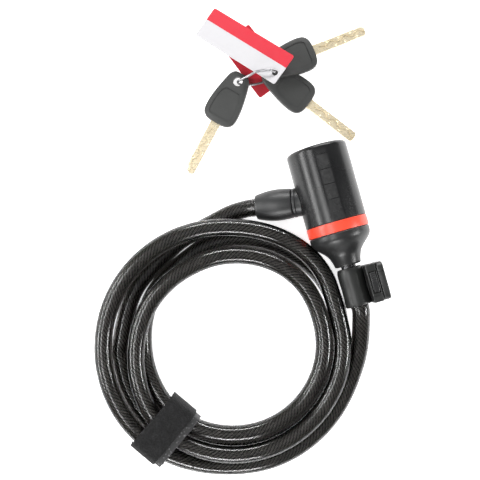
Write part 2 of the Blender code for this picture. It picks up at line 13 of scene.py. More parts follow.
import bmesh
import bpy
from mathutils import Matrix, Vector
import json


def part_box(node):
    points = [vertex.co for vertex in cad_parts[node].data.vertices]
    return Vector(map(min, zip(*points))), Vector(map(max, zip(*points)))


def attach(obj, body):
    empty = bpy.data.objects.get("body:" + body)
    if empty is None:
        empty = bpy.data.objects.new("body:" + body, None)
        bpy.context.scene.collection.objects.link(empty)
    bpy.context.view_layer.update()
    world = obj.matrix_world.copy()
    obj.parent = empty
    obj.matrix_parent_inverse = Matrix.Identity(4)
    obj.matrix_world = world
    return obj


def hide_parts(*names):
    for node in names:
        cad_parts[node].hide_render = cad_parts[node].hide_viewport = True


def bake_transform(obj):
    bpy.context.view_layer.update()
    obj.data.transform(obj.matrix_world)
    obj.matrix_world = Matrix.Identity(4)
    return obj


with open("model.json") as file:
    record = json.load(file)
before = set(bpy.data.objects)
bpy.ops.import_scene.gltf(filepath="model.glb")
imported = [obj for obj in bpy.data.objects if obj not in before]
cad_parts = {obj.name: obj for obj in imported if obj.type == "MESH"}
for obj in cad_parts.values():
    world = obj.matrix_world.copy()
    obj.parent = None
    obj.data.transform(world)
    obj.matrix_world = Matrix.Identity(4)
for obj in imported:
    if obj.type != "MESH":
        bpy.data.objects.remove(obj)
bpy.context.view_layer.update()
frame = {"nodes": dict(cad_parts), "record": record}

LOG = logging.getLogger("cable_lock")
MM = 0.001
TAU = 2 * math.pi
WELD = 1e-6
UV_PER_METRE = 10
Profile = list[tuple[float, float]]
Outline = tuple[tuple[float, float], ...]


class Body(Enum):
    """The frame's bodies that pieces ride on."""

    CABLE = "cable"
    HEAD = "head"
    TONGUE = "tongue"
    BUNCH = "key_bunch"


class Slot(Enum):
    """The record's material slots."""

    SHEATH = "cable_sheath"
    PLASTIC = "black_plastic"
    RUBBER = "black_rubber"
    RED = "red_plastic"
    STEEL = "steel"
    KEY_BRASS = "key_brass"
    FABRIC = "strap_fabric"
    CARD_WHITE = "card_white"
    CARD_RED = "card_red"


# ------------------------------------------------------------------ shapes


def in_mm(points: Iterable[tuple[float, float]]) -> Profile:
    """Turn an outline in mm into metres.

    Args:
        points: pairs in mm.

    Returns:
        The same pairs in metres.
    """
    return [(x * MM, y * MM) for x, y in points]


def fillet(points: Profile, radius: float, segments: int = 4, closed: bool = True) -> Profile:
    """Round an outline's corners.

    Args:
        points: the outline's corners.
        radius: how far along its edges each corner is rounded, at most 45% of an edge.
        segments: points added at each corner.
        closed: whether the last corner joins the first.

    Returns:
        The rounded outline.
    """
    made: Profile = []
    count = len(points)
    for i, point in enumerate(points):
        if not closed and i in (0, count - 1):
            made.append(point)
            continue
        here = Vector(point)
        before = Vector(points[i - 1]) - here
        after = Vector(points[(i + 1) % count]) - here
        reach = min(radius, 0.45 * before.length, 0.45 * after.length)
        start = here + before.normalized() * reach
        end = here + after.normalized() * reach
        for k in range(segments + 1):
            t = k / segments
            spot = start * (1 - t) ** 2 + here * (2 * t * (1 - t)) + end * t ** 2
            made.append((spot.x, spot.y))
    return made


def finish_mesh(name: str, work: bmesh.types.BMesh, place: Matrix = Matrix.Identity(4),
                sharp: float = 32.0) -> bpy.types.Object:
    """Make an object at the origin from a bmesh, with its place in its mesh.

    Args:
        name: the piece's name.
        work: the bmesh, which is freed.
        place: where the shape goes.
        sharp: the angle in degrees above which an edge stays sharp.

    Returns:
        The new object.
    """
    bmesh.ops.transform(work, matrix=place, verts=work.verts)
    bmesh.ops.remove_doubles(work, verts=work.verts, dist=WELD)
    bmesh.ops.recalc_face_normals(work, faces=work.faces)
    mesh = bpy.data.meshes.new(name)
    work.to_mesh(mesh)
    work.free()
    mesh.shade_smooth()
    mesh.set_sharp_from_angle(angle=math.radians(sharp))
    made = bpy.data.objects.new(name, mesh)
    bpy.context.scene.collection.objects.link(made)
    return made


def lathe(name: str, outline: Profile, place: Matrix, steps: int = 96,
          closed: bool = True) -> bpy.types.Object:
    """Turn an outline of (radius, height) about the Z axis.

    Args:
        name: the piece's name.
        outline: the points; an open outline starts and ends on the axis.
        place: where the turned shape goes.
        steps: segments round the axis.
        closed: whether the outline is a loop clear of the axis.

    Returns:
        The turned piece.
    """
    work = bmesh.new()
    verts = [work.verts.new((r, 0, z)) for r, z in outline]
    edges = [work.edges.new(pair) for pair in zip(verts, verts[1:])]
    if closed:
        edges.append(work.edges.new((verts[-1], verts[0])))
    bmesh.ops.spin(work, geom=verts + edges, cent=(0, 0, 0), axis=(0, 0, 1), dvec=(0, 0, 0),
                   angle=TAU, steps=steps, use_merge=True, use_duplicate=False)
    bmesh.ops.remove_doubles(work, verts=work.verts, dist=WELD)
    return finish_mesh(name, work, place)


def block(low: Sequence[float], high: Sequence[float], bevel: float,
          segments: int = 3) -> bmesh.types.BMesh:
    """A box with rounded edges.

    Args:
        low: its lowest corner.
        high: its highest corner.
        bevel: the edges' radius.
        segments: the steps round each edge.

    Returns:
        The bmesh.
    """
    work = bmesh.new()
    made = bmesh.ops.create_cube(work, size=1.0)
    size = Vector(high) - Vector(low)
    bmesh.ops.scale(work, vec=size, verts=made["verts"])
    bmesh.ops.translate(work, vec=(Vector(low) + Vector(high)) / 2, verts=made["verts"])
    if bevel:
        bmesh.ops.bevel(work, geom=list(work.edges), offset=bevel, segments=segments,
                        profile=0.5, affect="EDGES", material=-1)
    return work


def prism(outline: Profile, low: float, high: float, bevel: float = 0.0,
          segments: int = 3) -> bmesh.types.BMesh:
    """Give a flat outline a thickness along Z, with rounded rims.

    Args:
        outline: the outline's corners.
        low: the height of its lower face.
        high: the height of its upper face.
        bevel: the radius of the rims.
        segments: the steps round each rim.

    Returns:
        The bmesh.
    """
    work = bmesh.new()
    face = work.faces.new([work.verts.new((x, y, low)) for x, y in outline])
    grown = bmesh.ops.extrude_face_region(work, geom=[face])
    top = [item for item in grown["geom"] if isinstance(item, bmesh.types.BMVert)]
    bmesh.ops.translate(work, vec=(0, 0, high - low), verts=top)
    bmesh.ops.recalc_face_normals(work, faces=work.faces)
    if bevel:
        rims = [edge for edge in work.edges if abs(edge.verts[0].co.z - edge.verts[1].co.z) < 1e-9]
        bmesh.ops.bevel(work, geom=rims, offset=bevel, segments=segments, profile=0.5,
                        affect="EDGES", material=-1)
    return work


def carve(target: bpy.types.Object, cutters: Sequence[bpy.types.Object],
          operation: str = "DIFFERENCE", sharp: float = 32.0) -> bpy.types.Object:
    """Cut tools out of a piece, or join them on, and remove the tools.

    Args:
        target: the piece.
        cutters: the tools.
        operation: DIFFERENCE or UNION.
        sharp: the angle in degrees above which an edge stays sharp.

    Returns:
        The piece, with the result in its mesh.
    """
    for tool in cutters:
        step = target.modifiers.new("carve", "BOOLEAN")
        step.operation = operation
        step.solver = "EXACT"
        step.object = tool
    graph = bpy.context.evaluated_depsgraph_get()
    mesh = bpy.data.meshes.new_from_object(target.evaluated_get(graph))
    target.modifiers.clear()
    old = target.data
    target.data = mesh
    bpy.data.meshes.remove(old)
    mesh.name = target.name
    mesh.shade_smooth()
    mesh.set_sharp_from_angle(angle=math.radians(sharp))
    for tool in cutters:
        bpy.data.objects.remove(tool, do_unlink=True)
    return target


def catmull(points: Sequence[Vector], spacing: float) -> list[Vector]:
    """Read evenly spaced points from a smooth curve through the given ones.

    Args:
        points: the curve's own points.
        spacing: about how far apart the new points are.

    Returns:
        The points read from the curve.
    """
    ends = [points[0] * 2 - points[1], *points, points[-1] * 2 - points[-2]]
    fine: list[Vector] = []
    for p0, p1, p2, p3 in zip(ends, ends[1:], ends[2:], ends[3:]):
        count = max(1, round((p2 - p1).length / spacing))
        for i in range(count):
            t = i / count
            fine.append(0.5 * (p1 * 2 + (p2 - p0) * t
                               + (p0 * 2 - p1 * 5 + p2 * 4 - p3) * t ** 2
                               + (p1 * 3 - p0 - p2 * 3 + p3) * t ** 3))
    fine.append(points[-1].copy())
    return fine


def sweep(name: str, path: Sequence[Vector], section: Callable[[float], Profile],
          closed: bool = False, sharp: float = 60.0) -> bpy.types.Object:
    """Carry a section along a path, with a UV map of length along and turn round.

    Args:
        name: the piece's name.
        path: the centreline.
        section: gives the section's points for a length along the path.
        closed: whether the path is a loop.
        sharp: the angle in degrees above which an edge stays sharp.

    Returns:
        The swept piece.
    """
    count = len(path)
    work = bmesh.new()
    uv = work.loops.layers.uv.new("along")
    rings: list[list[bmesh.types.BMVert]] = []
    lengths: list[float] = []
    travelled = 0.0
    side = Vector((0, 0, 1))
    for i, point in enumerate(path):
        ahead = path[(i + 1) % count] if closed else path[min(i + 1, count - 1)]
        behind = path[i - 1] if closed or i else path[0]
        way = (ahead - behind).normalized()
        side = (side - way * side.dot(way)).normalized()
        across = way.cross(side)
        if i:
            travelled += (point - path[i - 1]).length
        lengths.append(travelled)
        rings.append([work.verts.new(point + side * y + across * x)
                      for x, y in section(travelled)])
    turns = len(rings[0])
    last = count if closed else count - 1
    for i in range(last):
        ring, following = rings[i], rings[(i + 1) % count]
        low = lengths[i]
        high = lengths[i + 1] if i + 1 < count else travelled + (path[0] - path[-1]).length
        for k in range(turns):
            face = work.faces.new((ring[k], ring[(k + 1) % turns],
                                   following[(k + 1) % turns], following[k]))
            for loop, spot in zip(face.loops, ((low, k), (low, k + 1), (high, k + 1), (high, k))):
                loop[uv].uv = (spot[0] * UV_PER_METRE, spot[1] / turns)
    if not closed:
        work.faces.new(rings[0])
        work.faces.new(rings[-1])
    return finish_mesh(name, work, sharp=sharp)


# ------------------------------------------------------------------ shader groups


class GroupMaker:
    """Builds a shader node group with named inputs and outputs."""

    def __init__(self, name: str, inputs: dict[str, float], outputs: Sequence[str]) -> None:
        """Open a group.

        Args:
            name: the group's name.
            inputs: its value inputs with their defaults.
            outputs: its value outputs.
        """
        self.tree = bpy.data.node_groups.new(name, "ShaderNodeTree")
        vector = self.tree.interface.new_socket("Vector", in_out="INPUT",
                                                socket_type="NodeSocketVector")
        vector.description = "Where on the piece"
        for label, value in inputs.items():
            socket = self.tree.interface.new_socket(label, in_out="INPUT",
                                                    socket_type="NodeSocketFloat")
            socket.default_value = value
        for label in outputs:
            self.tree.interface.new_socket(label, in_out="OUTPUT", socket_type="NodeSocketFloat")
        self.source = self.tree.nodes.new("NodeGroupInput")
        self.result = self.tree.nodes.new("NodeGroupOutput")

    def add(self, kind: str, values: Optional[dict[str, object]] = None,
            **links: bpy.types.NodeSocket) -> bpy.types.Node:
        """Add a node.

        Args:
            kind: its type.
            values: attributes to set.
            **links: sockets to join to its inputs, by name with _ for a space.

        Returns:
            The node.
        """
        return add_node(self.tree, kind, values, **links)


def add_node(tree: bpy.types.NodeTree, kind: str, values: Optional[dict[str, object]] = None,
             **links: object) -> bpy.types.Node:
    """Add a node to a tree, set it and join its inputs.

    Args:
        tree: the node tree.
        kind: the node's type.
        values: attributes to set.
        **links: a socket to join, or a value to set, for each input; in_0 names an input by number.

    Returns:
        The node.
    """
    node = tree.nodes.new(kind)
    for label, value in (values or {}).items():
        setattr(node, label, value)
    for label, item in links.items():
        key = int(label[3:]) if label.startswith("in_") else label.replace("_", " ")
        socket = node.inputs[key]
        if isinstance(item, bpy.types.NodeSocket):
            tree.links.new(item, socket)
        else:
            socket.default_value = item
    return node


def moulded_grain_group() -> bpy.types.NodeTree:
    """Fine spark-eroded grain, slow unevenness and faint rub marks, for moulded surfaces."""
    maker = GroupMaker("moulded_grain", {"Grain Scale": 900.0, "Patch Scale": 60.0},
                       ("Grain", "Patches", "Rub"))
    socket = maker.source.outputs
    fine = maker.add("ShaderNodeTexNoise", Vector=socket["Vector"], Scale=socket["Grain Scale"],
                     Detail=3.0, Roughness=0.6)
    slow = maker.add("ShaderNodeTexNoise", Vector=socket["Vector"], Scale=socket["Patch Scale"],
                     Detail=4.0, Roughness=0.55)
    stretch = maker.add("ShaderNodeMapping", Vector=socket["Vector"], Scale=(1.0, 6.0, 1.0),
                        Rotation=(0.3, 0.2, 0.7))
    rub = maker.add("ShaderNodeTexNoise", Vector=stretch.outputs[0], Scale=240.0, Detail=5.0,
                    Roughness=0.7)
    sharpen = maker.add("ShaderNodeMapRange", Value=rub.outputs["Fac"], in_1=0.62, in_2=0.74)
    tree = maker.tree
    tree.links.new(fine.outputs["Fac"], maker.result.inputs["Grain"])
    tree.links.new(slow.outputs["Fac"], maker.result.inputs["Patches"])
    tree.links.new(sharpen.outputs[0], maker.result.inputs["Rub"])
    return tree


def brushed_group() -> bpy.types.NodeTree:
    """Long fine scratches with slow tarnish, for metal."""
    maker = GroupMaker("brushed_metal", {"Scratch Scale": 700.0, "Tarnish Scale": 120.0},
                       ("Scratches", "Tarnish"))
    socket = maker.source.outputs
    stretch = maker.add("ShaderNodeMapping", Vector=socket["Vector"], Scale=(0.15, 1.0, 1.0),
                        Rotation=(0.0, 0.0, 0.4))
    fine = maker.add("ShaderNodeTexNoise", Vector=stretch.outputs[0],
                     Scale=socket["Scratch Scale"], Detail=4.0, Roughness=0.7)
    slow = maker.add("ShaderNodeTexNoise", Vector=socket["Vector"],
                     Scale=socket["Tarnish Scale"], Detail=5.0, Roughness=0.6)
    tree = maker.tree
    tree.links.new(fine.outputs["Fac"], maker.result.inputs["Scratches"])
    tree.links.new(slow.outputs["Fac"], maker.result.inputs["Tarnish"])
    return tree


def edge_wear_group() -> bpy.types.NodeTree:
    """Where a piece's own edges stand out and are rubbed, from how pointed the surface is."""
    maker = GroupMaker("edge_wear", {"Low": 0.52, "High": 0.62}, ("Wear",))
    socket = maker.source.outputs
    shape = maker.add("ShaderNodeNewGeometry")
    spots = maker.add("ShaderNodeTexNoise", Vector=socket["Vector"], Scale=420.0, Detail=4.0)
    edge = maker.add("ShaderNodeMapRange", Value=shape.outputs["Pointiness"],
                     in_1=socket["Low"], in_2=socket["High"])
    both = maker.add("ShaderNodeMath", {"operation": "MULTIPLY"}, in_0=edge.outputs[0],
                     in_1=spots.outputs["Fac"])
    maker.tree.links.new(both.outputs[0], maker.result.inputs["Wear"])
    return maker.tree


class Groups:
    """The shared shader groups, each built once."""

    _made: dict[str, bpy.types.NodeTree] = {}
    _makers: dict[str, Callable[[], bpy.types.NodeTree]] = {
        "moulded_grain": moulded_grain_group,
        "brushed_metal": brushed_group,
        "edge_wear": edge_wear_group,
    }

    @classmethod
    def get(cls, name: str) -> bpy.types.NodeTree:
        """Give a shared group, building it on its first use.

        Args:
            name: the group's name.

        Returns:
            The group.
        """
        if name not in cls._made:
            cls._made[name] = cls._makers[name]()
        return cls._made[name]


# ------------------------------------------------------------------ finishes


def start_material(name: str) -> tuple[bpy.types.Material, bpy.types.Node, bpy.types.NodeSocket]:
    """Begin a material.

    Args:
        name: the material's name.

    Returns:
        The material, its Principled shader and the piece's own coordinates.
    """
    made = bpy.data.materials.new(name)
    made.use_nodes = True
    shader = made.node_tree.nodes["Principled BSDF"]
    place = add_node(made.node_tree, "ShaderNodeTexCoord")
    return made, shader, place.outputs["Object"]


def use_group(tree: bpy.types.NodeTree, name: str, **links: object) -> bpy.types.Node:
    """Place a shared group in a material.

    Args:
        tree: the material's node tree.
        name: the group's name.
        **links: its inputs.

    Returns:
        The group node.
    """
    return add_node(tree, "ShaderNodeGroup", {"node_tree": Groups.get(name)}, **links)


def blend_colours(tree: bpy.types.NodeTree, factor: bpy.types.NodeSocket,
                  first: object, second: object, mode: str = "MIX") -> bpy.types.NodeSocket:
    """Mix two colours by a factor.

    Args:
        tree: the material's node tree.
        factor: how much of the second colour shows.
        first: a colour, or a socket.
        second: a colour, or a socket.
        mode: the way of mixing.

    Returns:
        The mixed colour.
    """
    node = tree.nodes.new("ShaderNodeMix")
    node.data_type = "RGBA"
    node.blend_type = mode
    tree.links.new(factor, node.inputs["Factor"])
    for key, item in (("A", first), ("B", second)):
        socket = [s for s in node.inputs if s.name == key and s.type == "RGBA"][0]
        if isinstance(item, bpy.types.NodeSocket):
            tree.links.new(item, socket)
        else:
            socket.default_value = (*item, 1.0)
    return [s for s in node.outputs if s.type == "RGBA"][0]


def scaled(tree: bpy.types.NodeTree, value: bpy.types.NodeSocket, low: float,
           high: float) -> bpy.types.NodeSocket:
    """Map a value from 0..1 to low..high.

    Args:
        tree: the material's node tree.
        value: the value.
        low: what 0 becomes.
        high: what 1 becomes.

    Returns:
        The mapped value.
    """
    node = add_node(tree, "ShaderNodeMapRange", in_0=value, in_3=low, in_4=high)
    return node.outputs[0]


def add_bump(tree: bpy.types.NodeTree, height: bpy.types.NodeSocket, distance: float,
             strength: float = 1.0,
             normal: Optional[bpy.types.NodeSocket] = None) -> bpy.types.NodeSocket:
    """Turn a height into a bumped normal.

    Args:
        tree: the material's node tree.
        height: the height, from 0 to 1.
        distance: how deep the relief is.
        strength: how much of it shows.
        normal: a normal to build on.

    Returns:
        The bumped normal.
    """
    node = add_node(tree, "ShaderNodeBump", Height=height, Distance=distance, Strength=strength)
    if normal is not None:
        tree.links.new(normal, node.inputs["Normal"])
    return node.outputs["Normal"]


@dataclass(frozen=True)
class MouldedPlastic:
    """Moulded plastic or rubber with a fine eroded grain."""

    name: str
    colour: tuple[float, float, float]
    roughness: float = 0.36
    grain_depth: float = 0.00004
    worn: tuple[float, float, float] = (0.10, 0.10, 0.10)
    specular: float = 0.5
    grain_scale: float = 1100.0
    patch_scale: float = 45.0

    def build(self) -> bpy.types.Material:
        """Make the material."""
        made, shader, place = start_material(self.name)
        tree = made.node_tree
        grain = use_group(tree, "moulded_grain", Vector=place, Grain_Scale=self.grain_scale,
                          Patch_Scale=self.patch_scale)
        wear = use_group(tree, "edge_wear", Vector=place, Low=0.53, High=0.66)
        light = tuple(min(1.0, c * 1.25 + 0.002) for c in self.colour)
        dark = tuple(c * 0.85 for c in self.colour)
        base = blend_colours(tree, grain.outputs["Patches"], dark, light)
        base = blend_colours(tree, wear.outputs["Wear"], base, self.worn)
        tree.links.new(base, shader.inputs["Base Color"])
        rough = scaled(tree, grain.outputs["Patches"], self.roughness - 0.05,
                       self.roughness + 0.07)
        tree.links.new(rough, shader.inputs["Roughness"])
        shader.inputs["Specular IOR Level"].default_value = self.specular
        tree.links.new(add_bump(tree, grain.outputs["Grain"], self.grain_depth, 0.5),
                       shader.inputs["Normal"])
        return made


@dataclass(frozen=True)
class BrushedMetal:
    """Metal with fine scratches and slow tarnish."""

    name: str
    colour: tuple[float, float, float]
    tarnish: tuple[float, float, float]
    roughness: float = 0.28
    scratch_depth: float = 0.00002
    metallic: float = 1.0

    def build(self) -> bpy.types.Material:
        """Make the material."""
        made, shader, place = start_material(self.name)
        tree = made.node_tree
        marks = use_group(tree, "brushed_metal", Vector=place)
        base = blend_colours(tree, marks.outputs["Tarnish"], self.colour, self.tarnish)
        tree.links.new(base, shader.inputs["Base Color"])
        shader.inputs["Metallic"].default_value = self.metallic
        rough = scaled(tree, marks.outputs["Scratches"], self.roughness - 0.08,
                       self.roughness + 0.12)
        tree.links.new(rough, shader.inputs["Roughness"])
        tree.links.new(add_bump(tree, marks.outputs["Scratches"], self.scratch_depth, 0.5),
                       shader.inputs["Normal"])
        return made


@dataclass(frozen=True)
class SmokyClear:
    """The cable's clear sheath, tinted all through, so that it darkens with its depth."""

    name: str = "smoky_clear_sheath"
    surface: tuple[float, float, float] = (0.93, 0.92, 0.915)
    tint: tuple[float, float, float] = (0.205, 0.190, 0.180)
    density: float = 500.0
    roughness: float = 0.17
    refraction: float = 1.47

    def build(self) -> bpy.types.Material:
        """Make the material."""
        made, shader, place = start_material(self.name)
        tree = made.node_tree
        haze = use_group(tree, "moulded_grain", Vector=place, Grain_Scale=700.0,
                         Patch_Scale=40.0)
        shader.inputs["Base Color"].default_value = (*self.surface, 1.0)
        shader.inputs["Transmission Weight"].default_value = 1.0
        shader.inputs["IOR"].default_value = self.refraction
        rough = scaled(tree, haze.outputs["Patches"], self.roughness, self.roughness + 0.02)
        tree.links.new(rough, shader.inputs["Roughness"])
        depth = add_node(tree, "ShaderNodeVolumeAbsorption")
        depth.inputs["Color"].default_value = (*self.tint, 1.0)
        depth.inputs["Density"].default_value = self.density
        tree.links.new(depth.outputs["Volume"],
                       tree.nodes["Material Output"].inputs["Volume"])
        return made


@dataclass(frozen=True)
class StrandedWire:
    """Fine wires wound into strands, read from the rope's own UV map, with painted light on the
    wire crests and painted shade in the hollows between wires and strands.
    """

    name: str = "stranded_wire"
    # light is the painted lit colour of the wire crests; dark is the painted shade colour of the
    # hollows between wires and strands.
    light: tuple[float, float, float] = (0.97, 0.96, 0.93)
    dark: tuple[float, float, float] = (0.13, 0.125, 0.12)
    strands: int = 8
    wires_round: float = 24.0
    wires_along: float = 58.0
    metallic: float = 0.2
    wire_depth: float = 0.00022

    def build(self) -> bpy.types.Material:
        """Make the material."""
        made, shader, place = start_material(self.name)
        tree = made.node_tree
        uv = add_node(tree, "ShaderNodeUVMap", {"uv_map": "along"})
        parts = add_node(tree, "ShaderNodeSeparateXYZ", Vector=uv.outputs[0])
        along = add_node(tree, "ShaderNodeMath", {"operation": "MULTIPLY"},
                         in_0=parts.outputs[0], in_1=self.wires_along * TAU)
        turn = add_node(tree, "ShaderNodeMath", {"operation": "MULTIPLY"},
                        in_0=parts.outputs[1], in_1=self.wires_round * TAU)
        phase = add_node(tree, "ShaderNodeMath", {"operation": "ADD"},
                         in_0=along.outputs[0], in_1=turn.outputs[0])
        wave = add_node(tree, "ShaderNodeMath", {"operation": "SINE"}, in_0=phase.outputs[0])
        height = scaled(tree, wave.outputs[0], 0.0, 1.0)
        wave_range = height.node
        wave_range.inputs[1].default_value = -1.0
        spots = add_node(tree, "ShaderNodeTexNoise", Vector=place, Scale=500.0, Detail=3.0)
        mask = add_node(tree, "ShaderNodeMath", {"operation": "MULTIPLY_ADD"},
                        in_0=spots.outputs["Fac"], in_1=0.5, in_2=-0.25)
        wires = add_node(tree, "ShaderNodeMath", {"operation": "ADD", "use_clamp": True},
                         in_0=height, in_1=mask.outputs[0])
        lobe = add_node(tree, "ShaderNodeMath", {"operation": "MULTIPLY"},
                        # Painted shade: the colour is darkened in the grooves between strands.
                        in_0=parts.outputs[1], in_1=self.strands * math.pi)
        crest = add_node(tree, "ShaderNodeMath", {"operation": "SINE"}, in_0=lobe.outputs[0])
        crest = add_node(tree, "ShaderNodeMath", {"operation": "ABSOLUTE"},
                         in_0=crest.outputs[0])
        painted_groove_shade = add_node(tree, "ShaderNodeMapRange", Value=crest.outputs[0], in_1=0.05,
                          in_2=0.6)
        # Painted light and shade: lighter on the wire crests, darker in the dips between wires and
        # in the strand grooves.
        level = add_node(tree, "ShaderNodeMath", {"operation": "MULTIPLY"},
                         in_0=scaled(tree, wires.outputs[0], 0.35, 1.0),
                         in_1=painted_groove_shade.outputs[0])
        base = blend_colours(tree, level.outputs[0], self.dark, self.light)
        tree.links.new(base, shader.inputs["Base Color"])
        shader.inputs["Metallic"].default_value = self.metallic
        rough = scaled(tree, spots.outputs["Fac"], 0.62, 0.8)
        tree.links.new(rough, shader.inputs["Roughness"])
        tree.links.new(add_bump(tree, height, self.wire_depth, 1.0), shader.inputs["Normal"])
        return made


@dataclass(frozen=True)
class FeltedStrap:
    """The loop side of a hook-and-loop strap: a short dense felt."""

    name: str = "felted_strap"
    colour: tuple[float, float, float] = (0.008, 0.008, 0.0083)

    def build(self) -> bpy.types.Material:
        """Make the material."""
        made, shader, place = start_material(self.name)
        tree = made.node_tree
        fuzz = add_node(tree, "ShaderNodeTexNoise", Vector=place, Scale=800.0, Detail=6.0,
                        Roughness=0.75)
        loops = add_node(tree, "ShaderNodeTexVoronoi", Vector=place, Scale=900.0)
        slow = add_node(tree, "ShaderNodeTexNoise", Vector=place, Scale=220.0, Detail=4.0)
        light = tuple(c * 4.0 for c in self.colour)
        tuft = add_node(tree, "ShaderNodeMapRange", Value=fuzz.outputs["Fac"], in_1=0.42,
                        in_2=0.66)
        base = blend_colours(tree, tuft.outputs[0], self.colour, light)
        dark = tuple(c * 0.4 for c in self.colour)
        base = blend_colours(tree, slow.outputs["Fac"], base, dark)
        tree.links.new(base, shader.inputs["Base Color"])
        shader.inputs["Sheen Weight"].default_value = 0.06
        shader.inputs["Sheen Roughness"].default_value = 0.45
        shader.inputs["Specular IOR Level"].default_value = 0.25
        rough = scaled(tree, fuzz.outputs["Fac"], 0.85, 1.0)
        tree.links.new(rough, shader.inputs["Roughness"])
        normal = add_bump(tree, loops.outputs["Distance"], 0.0004, 0.9)
        normal = add_bump(tree, fuzz.outputs["Fac"], 0.0006, 1.0, normal)
        tree.links.new(normal, shader.inputs["Normal"])
        return made


@dataclass(frozen=True)
class HookedStrap:
    """The hook side: rows of tiny stiff hooks on a woven ground, with a painted highlight on the
    hook tops.
    """

    name: str = "hooked_strap"
    colour: tuple[float, float, float] = (0.014, 0.014, 0.0145)

    def build(self) -> bpy.types.Material:
        """Make the material."""
        made, shader, place = start_material(self.name)
        tree = made.node_tree
        hooks = add_node(tree, "ShaderNodeTexVoronoi", Vector=place, Scale=430.0)
        fuzz = add_node(tree, "ShaderNodeTexNoise", Vector=place, Scale=600.0, Detail=4.0)
        # Painted highlight: the hook tops are painted up to eight times lighter than the ground;
        # the same mask gives the hooks' bump.
        light = tuple(c * 8.0 for c in self.colour)
        hook_height_and_highlight = add_node(tree, "ShaderNodeMapRange", Value=hooks.outputs["Distance"],
                        in_1=0.35, in_2=0.1)
        base = blend_colours(tree, hook_height_and_highlight.outputs[0], self.colour, light)
        tree.links.new(base, shader.inputs["Base Color"])
        rough = scaled(tree, fuzz.outputs["Fac"], 0.45, 0.75)
        tree.links.new(rough, shader.inputs["Roughness"])
        tree.links.new(add_bump(tree, hook_height_and_highlight.outputs[0], 0.0005, 1.0), shader.inputs["Normal"])
        return made


@dataclass(frozen=True)
class PrintedCard:
    """Coated card: a plain ground, a band of a second colour and soft handling marks."""

    name: str
    ground: tuple[float, float, float]
    band: tuple[float, float, float]
    band_share: float = 0.42

    def build(self) -> bpy.types.Material:
        """Make the material; the band is read from the card's own UV map."""
        made, shader, place = start_material(self.name)
        tree = made.node_tree
        uv = add_node(tree, "ShaderNodeUVMap", {"uv_map": "card"})
        parts = add_node(tree, "ShaderNodeSeparateXYZ", Vector=uv.outputs[0])
        band = add_node(tree, "ShaderNodeMath", {"operation": "LESS_THAN"},
                        in_0=parts.outputs[1], in_1=self.band_share)
        fibre = add_node(tree, "ShaderNodeTexNoise", Vector=place, Scale=350.0, Detail=5.0)
        base = blend_colours(tree, band.outputs[0], self.ground, self.band)
        shade = scaled(tree, fibre.outputs["Fac"], 0.0, 0.3)
        base = blend_colours(tree, shade, base, (0.82, 0.80, 0.80), "MULTIPLY")
        tree.links.new(base, shader.inputs["Base Color"])
        rough = scaled(tree, fibre.outputs["Fac"], 0.3, 0.5)
        tree.links.new(rough, shader.inputs["Roughness"])
        tree.links.new(add_bump(tree, fibre.outputs["Fac"], 0.00005, 0.4),
                       shader.inputs["Normal"])
        return made


class Finishes:
    """Every finish, each material built once."""

    def __init__(self) -> None:
        """Build the materials."""
        self.shell = MouldedPlastic("shell_plastic", (0.006, 0.0062, 0.0066), 0.27,
                                    specular=0.42).build()
        self.nose = MouldedPlastic("nose_plastic", (0.010, 0.0103, 0.0106), 0.36).build()
        self.bracket = MouldedPlastic("bracket_plastic", (0.009, 0.0096, 0.009), 0.40,
                                      0.00007).build()
        self.key_plastic = MouldedPlastic("key_plastic", (0.034, 0.035, 0.034), 0.44,
                                          0.00006).build()
        self.boot = MouldedPlastic("boot_rubber", (0.017, 0.0175, 0.018), 0.40, 0.00005).build()
        self.red = MouldedPlastic("red_plastic", (0.74, 0.058, 0.028), 0.34, 0.00002,
                                  (0.9, 0.3, 0.25)).build()
        self.steel = BrushedMetal("plain_steel", (0.36, 0.36, 0.37), (0.24, 0.24, 0.25)).build()
        self.dark_steel = BrushedMetal("dark_steel", (0.10, 0.10, 0.105), (0.05, 0.05, 0.05),
                                       0.35).build()
        self.zinc = BrushedMetal("cast_zinc", (0.42, 0.42, 0.43), (0.30, 0.30, 0.30),
                                 0.45).build()
        self.brass = BrushedMetal("turned_brass", (0.78, 0.62, 0.36), (0.55, 0.42, 0.24),
                                  0.3).build()
        self.key_brass = BrushedMetal("key_brass", (0.93, 0.83, 0.62), (0.80, 0.68, 0.46),
                                      0.26, 0.00003, 0.6).build()
        self.sheath = SmokyClear().build()
        self.rope = StrandedWire().build()
        self.felt = FeltedStrap().build()
        self.hooks = HookedStrap().build()
        self.white_card = PrintedCard("white_card", (0.49, 0.485, 0.50),
                                      (0.50, 0.016, 0.032)).build()
        self.red_card = PrintedCard("red_card", (0.52, 0.017, 0.033), (0.48, 0.016, 0.03)).build()


def dress(piece: bpy.types.Object, material: bpy.types.Material, body: str,
          replaces: Sequence[str] = ()) -> bpy.types.Object:
    """Give a piece its material, body and the nodes it stands for.

    Args:
        piece: the piece.
        material: its finish.
        body: the body it rides on.
        replaces: the nodes it stands for.

    Returns:
        The piece.
    """
    piece.data.materials.clear()
    piece.data.materials.append(material)
    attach(piece, body)
    if replaces:
        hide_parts(*replaces)
    LOG.info("%s: %d faces", piece.name, len(piece.data.polygons))
    return piece


# ------------------------------------------------------------------ where things are


